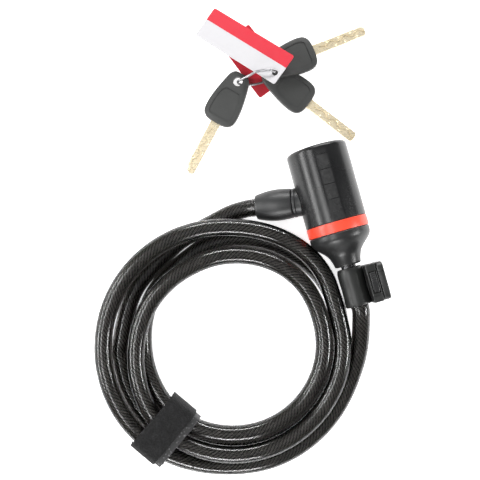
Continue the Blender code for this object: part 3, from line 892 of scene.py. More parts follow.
class Layout:
    """Where the frame puts the coil, the lock head and the keys."""

    def __init__(self, joint_rows: Sequence[dict]) -> None:
        """Read the places from the frame.

        Args:
            joint_rows: the record's joints.
        """
        joints = {joint["name"]: joint for joint in joint_rows}
        low, high = (Vector(corner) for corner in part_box("cable_coil"))
        self.coil = Vector(((low.x + high.x) / 2, (low.y + high.y) / 2, 0.0))
        low, high = (Vector(corner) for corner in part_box("trim_ring"))
        centre = (low + high) / 2
        self.along = Vector(joints["rotor_turn"]["axis"]).normalized()
        self.up = Vector((0, 0, 1))
        self.across = self.up.cross(self.along)
        self.head = self._matrix(centre, self.across, self.up, self.along)
        self.key_holes = [Vector(joints[f"key_{i}_swing"]["pos_m"]) for i in (1, 2, 3)]

    @staticmethod
    def _matrix(origin: Vector, x: Vector, y: Vector, z: Vector) -> Matrix:
        """Make a placing matrix from an origin and three axes."""
        return Matrix.Translation(origin) @ Matrix((x, y, z)).transposed().to_4x4()

    def side(self, along: float, lean: float, drop: float) -> Matrix:
        """Frame of an axis that leaves the head's side.

        Args:
            along: where it leaves the head's axis.
            lean: its angle towards the key end.
            drop: its angle downwards.

        Returns:
            A matrix whose +Z runs along that axis.
        """
        way = Vector((-math.cos(drop) * math.cos(lean), -math.sin(drop),
                      -math.cos(drop) * math.sin(lean)))
        turn = way.to_track_quat("Z", "Y").to_matrix().to_4x4()
        return self.head @ Matrix.Translation((0, 0, along)) @ turn

    def polar(self, angle: float, radius: float, height: float) -> Vector:
        """A point by its angle in degrees and its radius and height in mm from the coil."""
        turn = math.radians(angle)
        return self.coil + Vector((radius * math.cos(turn), radius * math.sin(turn),
                                   height)) * MM


# ------------------------------------------------------------------ cable


@dataclass
class Cable:
    """The sheathed wire rope: a lead from the boot, the coil, and a tail into the bracket."""

    layout: Layout
    finishes: Finishes
    diameter: float = 0.012
    rope_radius: float = 0.0031
    strand_count: int = 8
    strand_relief: float = 0.00022
    lay_length: float = 0.023
    joint_angle: float = 231.0
    strap_rise_mm: float = 1.7
    strap_angle: float = 230.0
    lead_stations: tuple[tuple[float, float, float], ...] = (
        (90.5, 90.9, 7.4), (97.5, 86.4, 6.4), (105.0, 83.0, 6.2), (120.0, 79.4, 6.1),
        (150.0, 77.0, 6.1))
    coil_stations: tuple[tuple[float, float, float], ...] = (
        (180, 77.1, 6.1), (205, 77.1, 6.1), (222, 76.4, 6.1), (240, 73.7, 6.1),
        (255, 70.9, 6.1), (270, 69.3, 6.1), (300, 68.5, 6.1), (330, 70.5, 6.1),
        (360, 74.0, 6.1), (380, 77.0, 6.1), (400, 77.6, 6.1), (420, 75.8, 6.1),
        (435, 74.8, 6.1), (450, 73.3, 6.1), (465, 70.8, 6.1), (480, 66.9, 6.1),
        (510, 64.2, 6.1), (540, 60.9, 6.1), (562, 59.8, 8.4), (585, 59.4, 12.4),
        (607, 58.9, 16.4), (630, 58.6, 18.2), (675, 60.2, 18.2), (690, 61.0, 18.2),
        (720, 62.5, 18.2), (735, 62.8, 18.2), (765, 64.4, 18.2), (810, 62.2, 18.2),
        (840, 61.0, 18.2), (855, 61.5, 18.2), (880, 63.0, 18.2), (900, 64.4, 18.2),
        (922, 67.0, 18.2), (945, 70.6, 18.2), (990, 72.2, 18.2), (1035, 73.2, 18.2),
        (1080, 75.0, 18.2), (1100, 75.0, 18.2), (1109, 76.6, 18.2), (1118, 79.2, 18.2),
        (1130, 80.7, 18.2), (1170, 80.8, 18.2), (1200, 83.4, 18.2), (1230, 85.8, 18.2),
        (1260, 86.6, 18.2), (1290, 85.9, 18.2), (1305, 85.0, 16.6), (1320, 84.0, 13.4),
        (1335, 83.1, 9.0), (1350, 82.6, 6.2), (1372, 83.0, 6.1), (1395, 83.3, 6.1),
        (1418, 84.2, 6.2), (1428, 84.9, 9.2), (1438, 86.3, 13.6), (1448, 88.0, 17.3))
    step_angle: float = 8.0
    floor_height_mm: float = 6.05
    strap_spread: float = 24.0
    boot_path_mm: tuple[float, ...] = (41.0, 46.0, 51.0, 57.0)
    hub_path_mm: tuple[float, ...] = (59.0, 54.4, 50.5, 46.6)
    path_spacing: float = 0.002
    boot_points: int = 20
    sheath_sides: int = 24
    sides_per_strand: int = 5
    boot_along: float = -0.0199
    boot_lean: float = math.radians(9.8)
    boot_drop: float = math.radians(12.0)
    boot_mouth: float = 0.050
    hub_end: float = 0.0543

    def strap_lift(self, angle: float) -> float:
        """How far the strap below raises the cable at an angle, in mm."""
        away = abs((angle - self.strap_angle + 180) % 360 - 180)
        return self.strap_rise_mm * math.exp(-((away / self.strap_spread) ** 2))

    def route(self) -> tuple[list[Vector], list[Vector]]:
        """The centreline of the lead, from the boot, and of the rest, up to the bracket.

        Returns:
            The lead's points and the coil's and tail's points.
        """
        place = self.layout
        boot = place.side(self.boot_along, self.boot_lean, self.boot_drop)
        start = [boot @ Vector((0, 0, z * MM)) for z in self.boot_path_mm]
        start += [place.polar(*spot) for spot in self.lead_stations]
        spots = []
        angle, last = self.coil_stations[0][0], self.coil_stations[-1][0]
        while angle <= last:
            radius, height = self.read_stations(angle)
            height = max(height, self.floor_height_mm) + self.strap_lift(angle)
            spots.append(place.polar(angle, radius, height))
            angle += self.step_angle
        spots += [place.head @ Vector((0, 0, z * MM)) for z in self.hub_path_mm]
        whole = catmull(start + spots, self.path_spacing)
        turn = math.radians(self.joint_angle)
        edge = Vector((math.cos(turn), math.sin(turn), 0))
        normal = Vector((-math.sin(turn), math.cos(turn), 0))
        for i, point in enumerate(whole):
            away = point - place.coil
            if i > self.boot_points and away.dot(edge) > 0 and away.dot(normal) >= 0:
                return whole[:i + 1], whole[i:]
        raise ValueError("the route never passes the strap")

    def read_stations(self, angle: float) -> tuple[float, float]:
        """Read the coil's radius and height in mm at an angle, smoothly between its stations."""
        rows = self.coil_stations
        i = max(k for k in range(len(rows) - 1) if rows[k][0] <= angle)
        reach = rows[i + 1][0] - rows[i][0]
        t = (angle - rows[i][0]) / reach

        def slope(k: int, column: int) -> float:
            """The slope of a column at a station, weighted by the steps on its two sides."""
            if k in (0, len(rows) - 1):
                j = min(k, len(rows) - 2)
                return (rows[j + 1][column] - rows[j][column]) / (rows[j + 1][0] - rows[j][0])
            back, ahead = rows[k][0] - rows[k - 1][0], rows[k + 1][0] - rows[k][0]
            first = (rows[k][column] - rows[k - 1][column]) / back
            second = (rows[k + 1][column] - rows[k][column]) / ahead
            return (first * ahead + second * back) / (back + ahead)

        made = [rows[i][c] * (1 + 2 * t) * (1 - t) ** 2 + slope(i, c) * reach * t * (1 - t) ** 2
                + rows[i + 1][c] * t * t * (3 - 2 * t) + slope(i + 1, c) * reach * t * t * (t - 1)
                for c in (1, 2)]
        return made[0], made[1]

    def sheath_section(self, along: float) -> Profile:
        """The sheath's round section."""
        radius = self.diameter / 2
        turns = [TAU * k / self.sheath_sides for k in range(self.sheath_sides)]
        return [(radius * math.cos(turn), radius * math.sin(turn)) for turn in turns]

    def rope_section(self, along: float) -> Profile:
        """The wire rope's lobed section, turned by the lay at a length along the cable."""
        sides = self.strand_count * self.sides_per_strand
        turn = TAU * along / self.lay_length
        made = []
        for k in range(sides):
            angle = TAU * k / sides
            lobe = abs(math.sin(self.strand_count * angle / 2))
            radius = self.rope_radius - self.strand_relief + 2 * self.strand_relief * lobe
            made.append((radius * math.cos(angle + turn), radius * math.sin(angle + turn)))
        return made

    @staticmethod
    def length_of(path: Sequence[Vector]) -> float:
        """The length of a centreline."""
        return sum((b - a).length for a, b in zip(path, path[1:]))

    def build(self) -> None:
        """Build both stretches of cable."""
        lead, rest = self.route()
        rest = rest[::-1]
        exits = {
            "lead": self.layout.side(self.boot_along, self.boot_lean, self.boot_drop)
            @ Vector((0, 0, self.boot_mouth)),
            "coil": self.layout.head @ Vector((0, 0, self.hub_end)),
        }
        for name, path, body, nodes in (("lead", lead, None, ("cable_lead",)),
                                        ("coil", rest, Body.CABLE, ("cable_coil", "cable_tail"))):
            sheath = sweep(f"cable_sheath_{name}", path, self.sheath_section)
            rope = sweep(f"wire_rope_{name}", path, self.rope_section, sharp=80.0)
            for piece, material in ((sheath, self.finishes.sheath), (rope, self.finishes.rope)):
                piece.data.materials.append(material)
                if body is None:
                    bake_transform(piece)
                else:
                    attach(piece, body.value)
            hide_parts(*nodes)
            LOG.info("cable %s: %.3f m", name, self.length_of(path))


# ------------------------------------------------------------------ strap


@dataclass
class Strap:
    """The hook-and-loop strap, wound round the coil and closed on itself."""

    layout: Layout
    finishes: Finishes
    angle: float = math.radians(230.0)
    width: float = 0.020
    thickness: float = 0.0011
    middle_radius: float = 0.0716
    half_reach: float = 0.0207
    layer_offset: float = 0.0045
    layer_gap: float = 0.0002
    floor_gap: float = 0.0006
    corner_steps: int = 10
    edge_radius: float = 0.0004
    ripple: float = 0.00012
    fray: tuple[float, float] = (0.022, 0.014)
    end_span: tuple[float, float] = (0.20, 0.78)
    height: float = 0.0274
    corner: float = 0.0095

    def loop(self, grow: float) -> list[tuple[float, float]]:
        """The strap's centreline as a rounded rectangle across the coil.

        Args:
            grow: how far outside the inner wrap it lies.

        Returns:
            Points of (reach, height), from the inner end over the top and round.
        """
        half, low, high = self.half_reach + grow, self.floor_gap - grow, self.height + grow
        outline = [(-half, low), (-half, high), (half, high), (half, low)]
        return fillet(outline, self.corner + grow, self.corner_steps)

    def strip(self, name: str, line: Sequence[tuple[float, float]], shift: float,
              loop: bool) -> bpy.types.Object:
        """Give a centreline the strap's width and thickness.

        Args:
            name: the piece's name.
            line: points of (reach, height).
            shift: how far the strip lies to one side.
            loop: whether the line is closed.

        Returns:
            The strip.
        """
        radial = Vector((math.cos(self.angle), math.sin(self.angle), 0))
        aside = Vector((-math.sin(self.angle), math.cos(self.angle), 0))
        centre = self.layout.coil + radial * self.middle_radius + aside * shift
        path = [centre + radial * x + Vector((0, 0, y)) for x, y in line]
        half_w, half_t = self.width / 2, self.thickness / 2
        outline = fillet([(-half_w, -half_t), (half_w, -half_t), (half_w, half_t),
                          (-half_w, half_t)], self.edge_radius, 2)
        work = bmesh.new()
        rings = []
        count = len(path)
        for i, point in enumerate(path):
            ahead = path[(i + 1) % count] if loop else path[min(i + 1, count - 1)]
            behind = path[i - 1] if loop or i else path[0]
            out = aside.cross((ahead - behind).normalized())
            wave = self.ripple * math.sin(i * 1.7)
            fray = (1 + self.fray[0] * math.sin(i * 2.3)
                    + self.fray[1] * math.sin(i * 5.1))
            rings.append([work.verts.new(point + aside * (u * fray) + out * (v + wave))
                          for u, v in outline])
        sides = len(outline)
        for i in range(count if loop else count - 1):
            for k in range(sides):
                work.faces.new((rings[i][k], rings[i][(k + 1) % sides],
                                rings[(i + 1) % count][(k + 1) % sides],
                                rings[(i + 1) % count][k]))
        if not loop:
            work.faces.new(rings[0])
            work.faces.new(rings[-1])
        return finish_mesh(name, work, sharp=50.0)

    def build(self) -> None:
        """Build the inner wrap, hook side out, and the end that closes over it."""
        inner = self.strip("strap_inner_wrap", self.loop(0.0), self.layer_offset, True)
        dress(inner, self.finishes.hooks, Body.CABLE.value, ("strap_wrap",))
        turn = self.loop(self.thickness + self.layer_gap)
        size = len(turn)
        start, stop = (int(size * part) for part in self.end_span)
        outer = self.strip("strap_outer_end", turn[start:stop], 0.0, False)
        dress(outer, self.finishes.felt, Body.CABLE.value, ("strap_end",))


# ------------------------------------------------------------------ lock head


@dataclass
class LockHead:
    """The barrel with its trim ring, nose, key face and cable boot."""

    layout: Layout
    finishes: Finishes
    radius: float = 0.0205
    barrel_end: float = -0.055
    ring_half: float = 0.0034
    wall: float = 0.0025
    edge: float = 0.0027
    grooves: tuple[float, ...] = (-0.048, -0.038, -0.028, -0.018)
    groove_half_length: float = 0.007
    groove_half_width: float = 0.00024
    groove_depth: float = 0.00046
    ring_gap: float = 0.00025
    ring_proud: float = 0.00012
    face_edge: float = 0.0128
    face_step: float = 0.0006
    face_inner: float = 0.0124
    face_lip: float = 0.0110
    lip_drop: float = 0.0008
    bezel_bore: float = 0.0101
    side_cut: Outline = ((0, 0.012), (0.0081, 0.012), (0.0081, 0.026), (0, 0.026))
    bezel_mm: Outline = ((9.7, -50.3), (9.7, -54.6), (8.8, -55.3), (7.2, -55.3), (6.3, -54.8),
                         (6.3, -50.3))
    nose_curve_mm: Outline = (
        (20.35, 4.2), (20.25, 7.3), (19.3, 9.6), (17.3, 12.0), (15.0, 14.2), (12.8, 16.4),
        (11.2, 18.6), (10.2, 20.9), (9.5, 23.0), (9.1, 24.6))
    nose_inside_mm: Outline = (
        (9.0, 25.5), (8.6, 26.2), (7.9, 26.5), (6.4, 26.5), (5.8, 26.2), (5.6, 25.6),
        (5.6, 16.6), (9.6, 16.6), (11.2, 14.6), (15.0, 11.0), (17.6, 7.0), (18.0, 3.7))
    nose_root_mm: tuple[float, float] = (20.0, 3.7)
    collar_mm: Outline = ((7.0, 17.0), (9.5, 17.0), (9.5, 22.3), (9.9, 22.7), (9.9, 24.2),
                          (9.5, 24.6), (7.0, 24.6))
    saddle_gap: float = 0.0003
    saddle_depth: float = -0.05
    boot_curve_mm: Outline = ((10.0, 25.6), (10.4, 29.0), (10.7, 34.0), (10.5, 39.0),
                              (9.7, 44.0), (8.5, 48.9))
    boot_root_mm: Outline = ((6.35, 27.7), (7.0, 27.7), (7.0, 24.9), (9.6, 24.9), (9.9, 25.2))
    boot_lip_mm: Outline = ((8.2, 49.7), (7.6, 50.0), (6.8, 50.0), (6.35, 49.6))
    boot_along: float = -0.0199
    boot_lean: float = math.radians(9.8)
    boot_drop: float = math.radians(12.0)

    def build(self) -> None:
        """Build every piece of the head."""
        self.build_barrel()
        self.build_ring()
        self.build_nose()
        self.build_boot()
        self.dress_inside()

    def build_barrel(self) -> None:
        """The shell: a rounded key end, a sunk key face, four short grooves and a side opening."""
        low, high = -self.ring_half - self.ring_gap, self.barrel_end
        inner = self.radius - self.wall
        rim = [(self.radius - self.edge + self.edge * math.sin(a),
                high + self.edge - self.edge * math.cos(a))
               for a in (math.radians(9 * i) for i in range(10, -1, -1))]
        outline = [(self.radius - 0.0004, low), (self.radius, low - 0.0005)] + rim
        outline += [(self.face_edge, high), (self.face_inner, high + self.face_step),
                    (self.face_lip, high + self.face_step),
                    (self.bezel_bore, high + self.lip_drop), (self.bezel_bore, high + self.wall),
                    (inner, high + self.wall), (inner, low)]
        shell = lathe("barrel_shell", outline, self.layout.head, 128)
        tools = []
        for i, along in enumerate(self.grooves):
            cut = block((-self.groove_half_length, self.radius - self.groove_depth,
                         along - self.groove_half_width),
                        (self.groove_half_length, self.radius + MM,
                         along + self.groove_half_width), 0.0)
            tools.append(finish_mesh(f"groove_{i}", cut, self.layout.head))
        side = self.layout.side(self.boot_along, self.boot_lean, self.boot_drop)
        tools.append(lathe("side_cut", list(self.side_cut), side, 64, closed=False))
        carve(shell, tools)
        dress(shell, self.finishes.shell, Body.HEAD.value, ("housing_shell",))
        bezel = lathe("keyway_bezel", fillet(in_mm(self.bezel_mm), 0.0003, 3),
                      self.layout.head, 96)
        dress(bezel, self.finishes.steel, Body.HEAD.value, ("key_bezel",))

    def build_ring(self) -> None:
        """The red trim ring, a hair proud of the barrel."""
        inner, outer = self.radius - self.wall, self.radius + self.ring_proud
        outline = fillet([(inner, self.ring_half), (outer, self.ring_half),
                          (outer, -self.ring_half), (inner, -self.ring_half)], 0.0004, 3)
        ring = lathe("red_trim_ring", outline, self.layout.head, 128)
        dress(ring, self.finishes.red, Body.HEAD.value, ("trim_ring",))

    def build_nose(self) -> None:
        """The tapered nose, with a smooth shoulder and a rolled lip round the plug."""
        spots = [Vector(spot) * MM for spot in self.nose_curve_mm]
        smooth = [(point.x, point.y) for point in catmull(spots, 0.0006)]
        outline = in_mm([self.nose_root_mm]) + smooth + in_mm(self.nose_inside_mm)
        nose = lathe("tapered_nose", outline, self.layout.head, 128)
        dress(nose, self.finishes.nose, Body.HEAD.value, ("nose_cap",))

    def build_boot(self) -> None:
        """The collar with its bead, and the tapered boot round the cable."""
        side = self.layout.side(self.boot_along, self.boot_lean, self.boot_drop)
        collar = lathe("boot_collar_ring", fillet(in_mm(self.collar_mm), 0.0003, 3), side, 96)
        reach = self.radius + self.saddle_gap
        saddle = lathe("barrel_saddle_cut", [(0, self.saddle_depth), (reach, self.saddle_depth),
                                             (reach, 0.0), (0, 0.0)],
                       self.layout.head, 128, closed=False)
        carve(collar, [saddle])
        dress(collar, self.finishes.boot, Body.HEAD.value, ("boot_collar",))
        spots = [Vector(spot) * MM for spot in self.boot_curve_mm]
        smooth = [(point.x, point.y) for point in catmull(spots, 0.0008)]
        outline = in_mm(self.boot_root_mm) + smooth + in_mm(self.boot_lip_mm)
        boot = lathe("tapered_boot", outline, side, 96)
        dress(boot, self.finishes.boot, Body.HEAD.value, ("cable_boot",))

    def dress_inside(self) -> None:
        """Finishes for the frame's own inner pieces."""
        metal = {"lock_core": self.finishes.zinc, "bolt_carrier": self.finishes.zinc,
                 "rotor": self.finishes.brass, "stator": self.finishes.steel,
                 "cam": self.finishes.steel, "locking_bolt": self.finishes.steel,
                 "bolt_spring": self.finishes.steel, "cable_ferrule": self.finishes.steel,
                 "ferrule_pin": self.finishes.steel, "boot_neck": self.finishes.steel}
        metal.update({f"wafer_{i}": self.finishes.brass for i in range(1, 7)})
        for name, material in metal.items():
            paint_node(name, material)


def paint_node(name: str, material: bpy.types.Material) -> None:
    """Give one of the frame's own pieces a finish.

    Args:
        name: the node's name.
        material: its finish.
    """
    node = frame["nodes"][name]
    node.data.materials.clear()
    node.data.materials.append(material)


# ------------------------------------------------------------------ bracket


@dataclass
class Bracket:
    """The hub round the plug, with the clip block, release tongue and rail plate beside it."""

    layout: Layout
    finishes: Finishes
    low: float = 0.0291
    high: float = 0.0549
    half: float = 0.0125
    hub_curve_mm: Outline = ((8.1, 28.6), (8.75, 31.0), (8.85, 36.0), (8.7, 42.0),
                             (8.85, 48.0), (9.0, 53.2))
    hub_root_mm: Outline = ((5.35, 40.9), (5.35, 28.5), (5.7, 28.2), (7.6, 28.2))
    hub_lip_mm: Outline = ((8.8, 54.0), (8.3, 54.3), (6.8, 54.3), (6.35, 54.0), (6.35, 40.9))
    hub_seat_mm: Outline = ((0, 26.0), (9.3, 26.0), (9.3, 57.0), (0, 57.0))
    clip_sides: tuple[float, float] = (0.0085, 0.0154)
    socket_sides: tuple[float, float] = (0.0097, 0.0146)
    socket_ends: tuple[float, float] = (0.0342, 0.0488)
    socket_depth: float = 0.0034
    seam_sides: tuple[float, float] = (0.0090, 0.0150)
    seam_ends: tuple[float, float] = (0.0507, 0.0511)
    seam_depth: float = 0.0005
    rail_sides: tuple[float, float] = (0.0158, 0.0204)
    tongue_sides: tuple[float, float] = (0.0102, 0.0141)
    tongue_ends: tuple[float, float] = (0.0348, 0.0482)
    rib_sides: tuple[float, float] = (0.0106, 0.0137)
    rib_ends: tuple[float, float] = (0.0362, 0.0369)
    rib_step: float = 0.0014
    rib_count: int = 4
    screw_heights: tuple[float, float] = (-0.0075, 0.0075)
    screw_place: float = 0.042
    screw_hole_mm: Outline = ((0, 10.0), (1.8, 10.0), (1.8, 18.4), (3.3, 18.4), (3.3, 24.0),
                              (0, 24.0))

    def build(self) -> None:
        """Build the bracket's pieces."""
        head = self.layout.head
        spots = [Vector(spot) * MM for spot in self.hub_curve_mm]
        smooth = [(point.x, point.y) for point in catmull(spots, MM)]
        outline = in_mm(self.hub_root_mm) + smooth + in_mm(self.hub_lip_mm)
        hub = lathe("bracket_hub_shell", outline, head, 96)
        dress(hub, self.finishes.bracket, Body.CABLE.value, ("bracket_hub",))
        plate = finish_mesh("bracket_clip_block",
                            block((self.clip_sides[0], -self.half, self.low),
                                  (self.clip_sides[1], self.half, self.high), 0.0008, 4), head)
        cuts = [block((sides[0], self.half - depth, ends[0]), (sides[1], self.half + MM, ends[1]),
                      0.0)
                for sides, ends, depth in (
                    (self.socket_sides, self.socket_ends, self.socket_depth),
                    (self.seam_sides, self.seam_ends, self.seam_depth))]
        tools = [finish_mesh(f"clip_cut_{i}", cut, head) for i, cut in enumerate(cuts)]
        tools.append(lathe("hub_seat_cut", in_mm(self.hub_seat_mm), head, 96, closed=False))
        tools += self.screw_holes()
        carve(plate, tools)
        dress(plate, self.finishes.bracket, Body.CABLE.value, ("clip_block",))
        rim = fillet([(self.low, self.half), (self.low, -self.half), (self.high, -self.half),
                      (self.high, self.half)], 0.0045, 6)
        stand = head @ Matrix.Rotation(math.radians(-90), 4, "Y")
        rail = finish_mesh("bracket_rail_plate",
                           prism(rim, -self.rail_sides[1], -self.rail_sides[0], 0.0009, 4),
                           stand)
        notch = finish_mesh("rail_cut", block((0.0186, self.half - 0.0014, 0.0350),
                                              (0.022, self.half + 0.001, 0.0362), 0.0), head)
        score = finish_mesh("rail_score", block((0.0150, self.half - 0.0004, 0.0354),
                                                (0.022, self.half + 0.001, 0.0358), 0.0), head)
        carve(rail, [notch, score] + self.screw_holes())
        dress(rail, self.finishes.bracket, Body.CABLE.value, ("rail_plate",))
        tongue = finish_mesh("release_tongue_pad",
                             block((self.tongue_sides[0], self.half - 0.0015,
                                    self.tongue_ends[0]),
                                   (self.tongue_sides[1], self.half + 0.0004,
                                    self.tongue_ends[1]), 0.0005), head)
        ribs = [finish_mesh(f"rib_{i}",
                            block((self.rib_sides[0], self.half - 0.0002,
                                   self.rib_ends[0] + i * self.rib_step),
                                  (self.rib_sides[1], self.half + 0.0006,
                                   self.rib_ends[1] + i * self.rib_step), 0.0002, 2), head)
                for i in range(self.rib_count)]
        carve(tongue, ribs, "UNION")
        dress(tongue, self.finishes.nose, Body.TONGUE.value, ("release_tongue",))
        paint_node("plug_pin", self.finishes.dark_steel)
        for name in ("rail_screw_1", "rail_screw_2"):
            paint_node(name, self.finishes.steel)

    def screw_holes(self) -> list[bpy.types.Object]:
        """The two stepped holes that the screws sit in."""
        made = []
        for height in self.screw_heights:
            place = (self.layout.head @ Matrix.Translation((0, height, self.screw_place))
                     @ Matrix.Rotation(math.radians(90), 4, "Y"))
            made.append(lathe("screw_hole", in_mm(self.screw_hole_mm), place, 40,
                              closed=False))
        return made


# ------------------------------------------------------------------ keys


@dataclass
class Key:
    """One key: a moulded head with sunk panels and a ring hole, and a milled blade."""

    number: int
    place: Matrix
    finishes: Finishes
    thickness: float = 0.0042
    hole_y: float = 0.032
    hole_radius: float = 0.0032
    blade_length: float = 0.0392
    blade_half: float = 0.0035
    blade_thick: float = 0.0020
    blade_root: float = 0.012
    tip: float = 0.0014
    clearance: float = 0.0001
    panel_depth: float = 0.0005
    track_points: int = 24
    dimples: int = 6
    dimple_radius: float = 0.0010
    dimple_side: float = 0.0021
    outline_mm: Outline = ((3.6, 0.0), (8.0, 0.8), (11.0, 3.2), (12.0, 7.5), (11.8, 14.0),
                           (10.6, 22.0), (8.8, 30.0), (7.4, 35.0), (4.8, 38.0))
    panel_mm: Outline = ((7.6, 4.4), (8.8, 8.0), (8.6, 14.0), (7.8, 20.5), (5.6, 25.0))

    @staticmethod
    def mirrored(half_mm: Outline, corner: float) -> Profile:
        """A rounded outline from its right half in mm and its corners' radius."""
        right = in_mm(half_mm)
        return fillet(right + [(-x, y) for x, y in reversed(right)], corner, 4)

    def build(self) -> None:
        """Build the head and the blade."""
        half = self.thickness / 2
        head = finish_mesh(f"key_{self.number}_grip",
                           prism(self.mirrored(self.outline_mm, 0.003), -half, half, 0.0008),
                           self.place)
        tools = []
        for side in (-1, 1):
            low, high = sorted((side * (half - self.panel_depth), side * (half + MM)))
            panel = self.mirrored(self.panel_mm, 0.002)
            tools.append(finish_mesh("panel", prism(panel, low, high), self.place))
        hole = lathe("ring_hole", [(0, -0.01), (self.hole_radius, -0.01),
                                   (self.hole_radius, 0.01), (0, 0.01)],
                     self.place @ Matrix.Translation((0, self.hole_y, 0)), 48, closed=False)
        wide = self.blade_half + self.clearance
        thick = self.blade_thick / 2 + self.clearance
        slot = finish_mesh("blade_slot", block((-wide, -0.002, -thick), (wide, 0.0123, thick), 0.0),
                           self.place)
        carve(head, tools + [hole, slot])
        dress(head, self.finishes.key_plastic, f"key_{self.number}",
              (f"key_{self.number}_head",))
        self.build_blade()

    def build_blade(self) -> None:
        """The blade, with a wavy milled track and dimples down each face."""
        length, half, thick = self.blade_length, self.blade_half, self.blade_thick / 2
        blade = finish_mesh(f"key_{self.number}_milled_blade",
                            prism([(half, self.blade_root), (half, -length + self.tip),
                                   (half - self.tip, -length), (-half + self.tip, -length),
                                   (-half, -length + self.tip), (-half, self.blade_root)],
                                  -thick, thick, 0.0003), self.place)
        tools = []
        for side in (-1, 1):
            wave = [Vector((0.0011 * math.sin(k * 0.9 + 1.2 * self.number)
                            * min(1.0, k / 4), -0.004 - k * 0.0015, side * thick))
                    for k in range(self.track_points)]
            track = sweep("track", catmull(wave, 0.0007), self.track_section)
            track.data.transform(self.place)
            tools.append(track)
            for k in range(self.dimples):
                spot = Vector(((-1) ** (k + self.number) * self.dimple_side,
                               -0.0105 - k * 0.0042 - 0.0006 * ((k * self.number) % 3),
                               side * (thick + 0.0005)))
                work = bmesh.new()
                bmesh.ops.create_icosphere(work, subdivisions=2,
                                           radius=self.dimple_radius)
                tools.append(finish_mesh("dimple", work,
                                         self.place @ Matrix.Translation(spot)))
        carve(blade, tools)
        dress(blade, self.finishes.key_brass, f"key_{self.number}",
              (f"key_{self.number}_blade",))

    @staticmethod
    def track_section(along: float) -> Profile:
        """The milling cutter's section."""
        return in_mm([(-1.05, 0.4), (-0.75, -0.55), (0.75, -0.55), (1.05, 0.4)])


@dataclass(frozen=True)
class CardPlan:
    """A card's node, its ring hole in mm from the coil's centre, its tilt and bearing in
    degrees, and its sides in mm as seen from the hole."""

    node: str
    hole: tuple[float, float, float]
    angles: tuple[float, float]
    sides: tuple[float, float, float, float]


@dataclass
class KeyBunch:
    """Three keys and two cards on a bent wire ring."""

    layout: Layout
    finishes: Finishes
    bearings: tuple[float, ...] = (-29.0, 113.2, 53.1)
    slopes: tuple[float, ...] = (0.0543, 0.133, 0.0543)
    wire: float = 0.0008
    wire_sides: int = 16
    card_half: float = 0.00028
    card_corner: float = 0.0016
    punch_radius: float = 0.002
    code_card: CardPlan = CardPlan("code_card", (29.2, 185.0, 17.8), (15.2, 144.5),
                                   (-4.4, 64.6, -16.4, 6.8))
    spare_card: CardPlan = CardPlan("spare_card", (9.0, 206.5, 0.35), (0.0, -53.3),
                                    (-12.0, 34.0, -12.3, 12.3))
    ring_mm: tuple[tuple[float, float, float], ...] = (
        (29.2, 185.1, 19.0), (25.5, 186.6, 19.9), (17.0, 186.2, 17.1), (12.5, 184.8, 13.2),
        (8.0, 183.3, 9.8), (4.9, 182.4, 7.6), (4.1, 181.9, 4.8), (4.9, 181.4, 2.2),
        (8.0, 180.9, 1.5), (16.0, 181.2, 1.5), (24.0, 183.6, 1.5), (27.6, 185.4, 2.6),
        (28.4, 186.4, 5.2), (28.3, 188.9, 8.6), (28.2, 189.6, 10.7), (28.5, 189.0, 12.9),
        (29.1, 186.4, 16.4))

    def build(self) -> None:
        """Build the keys, the ring and the cards."""
        for number, (hole, bearing, slope) in enumerate(zip(self.layout.key_holes,
                                                            self.bearings, self.slopes), 1):
            place = (Matrix.Translation(hole) @ Matrix.Rotation(math.radians(bearing), 4, "Z")
                     @ Matrix.Rotation(math.atan(slope), 4, "X")
                     @ Matrix.Translation((0, -0.032, 0)))
            Key(number, place, self.finishes).build()
        points = [self.layout.coil + Vector(spot) * MM for spot in self.ring_mm]
        loop = catmull(points + [points[0]], 0.0008)[:-1]
        ring = sweep("bent_wire_ring", loop, self.wire_section, closed=True)
        dress(ring, self.finishes.steel, Body.BUNCH.value, ("key_ring",))
        self.build_card(self.code_card, self.finishes.white_card)
        self.build_card(self.spare_card, self.finishes.red_card)

    def wire_section(self, along: float) -> Profile:
        """The ring's round wire."""
        turns = [TAU * k / self.wire_sides for k in range(self.wire_sides)]
        return [(self.wire * math.cos(turn), self.wire * math.sin(turn)) for turn in turns]

    def build_card(self, plan: CardPlan, material: bpy.types.Material) -> None:
        """A card with round corners and a ring hole.

        Args:
            plan: where it is and how big.
            material: its finish.
        """
        low_x, high_x, low_y, high_y = (value * MM for value in plan.sides)
        tilt, bearing = (math.radians(angle) for angle in plan.angles)
        place = (Matrix.Translation(self.layout.coil + Vector(plan.hole) * MM)
                 @ Matrix.Rotation(bearing, 4, "Z") @ Matrix.Rotation(tilt, 4, "Y"))
        outline = fillet([(low_x, high_y), (low_x, low_y), (high_x, low_y), (high_x, high_y)],
                         self.card_corner, 5)
        card = finish_mesh(f"{plan.node}_sheet", prism(outline, -self.card_half, self.card_half),
                           place)
        size = self.punch_radius
        punch = lathe("punch", [(0, -size), (size, -size), (size, size), (0, size)], place, 40,
                      closed=False)
        carve(card, [punch])
        uv = card.data.uv_layers.new(name="card")
        back = place.inverted()
        for loop in card.data.loops:
            spot = back @ card.data.vertices[loop.vertex_index].co
            uv.data[loop.index].uv = ((spot.x - low_x) / (high_x - low_x),
                                      (spot.y - low_y) / (high_y - low_y))
        dress(card, material, Body.BUNCH.value, (plan.node,))


# ------------------------------------------------------------------ studio


@dataclass(frozen=True)
class SoftBox:
    """A soft rectangular light: where it is, its width and length, its watts and its aim."""

    name: str
    spot: tuple[float, float, float]
    size: tuple[float, float]
    power: float
    aim: tuple[float, float, float] = (0.0, -0.05, 0.0)


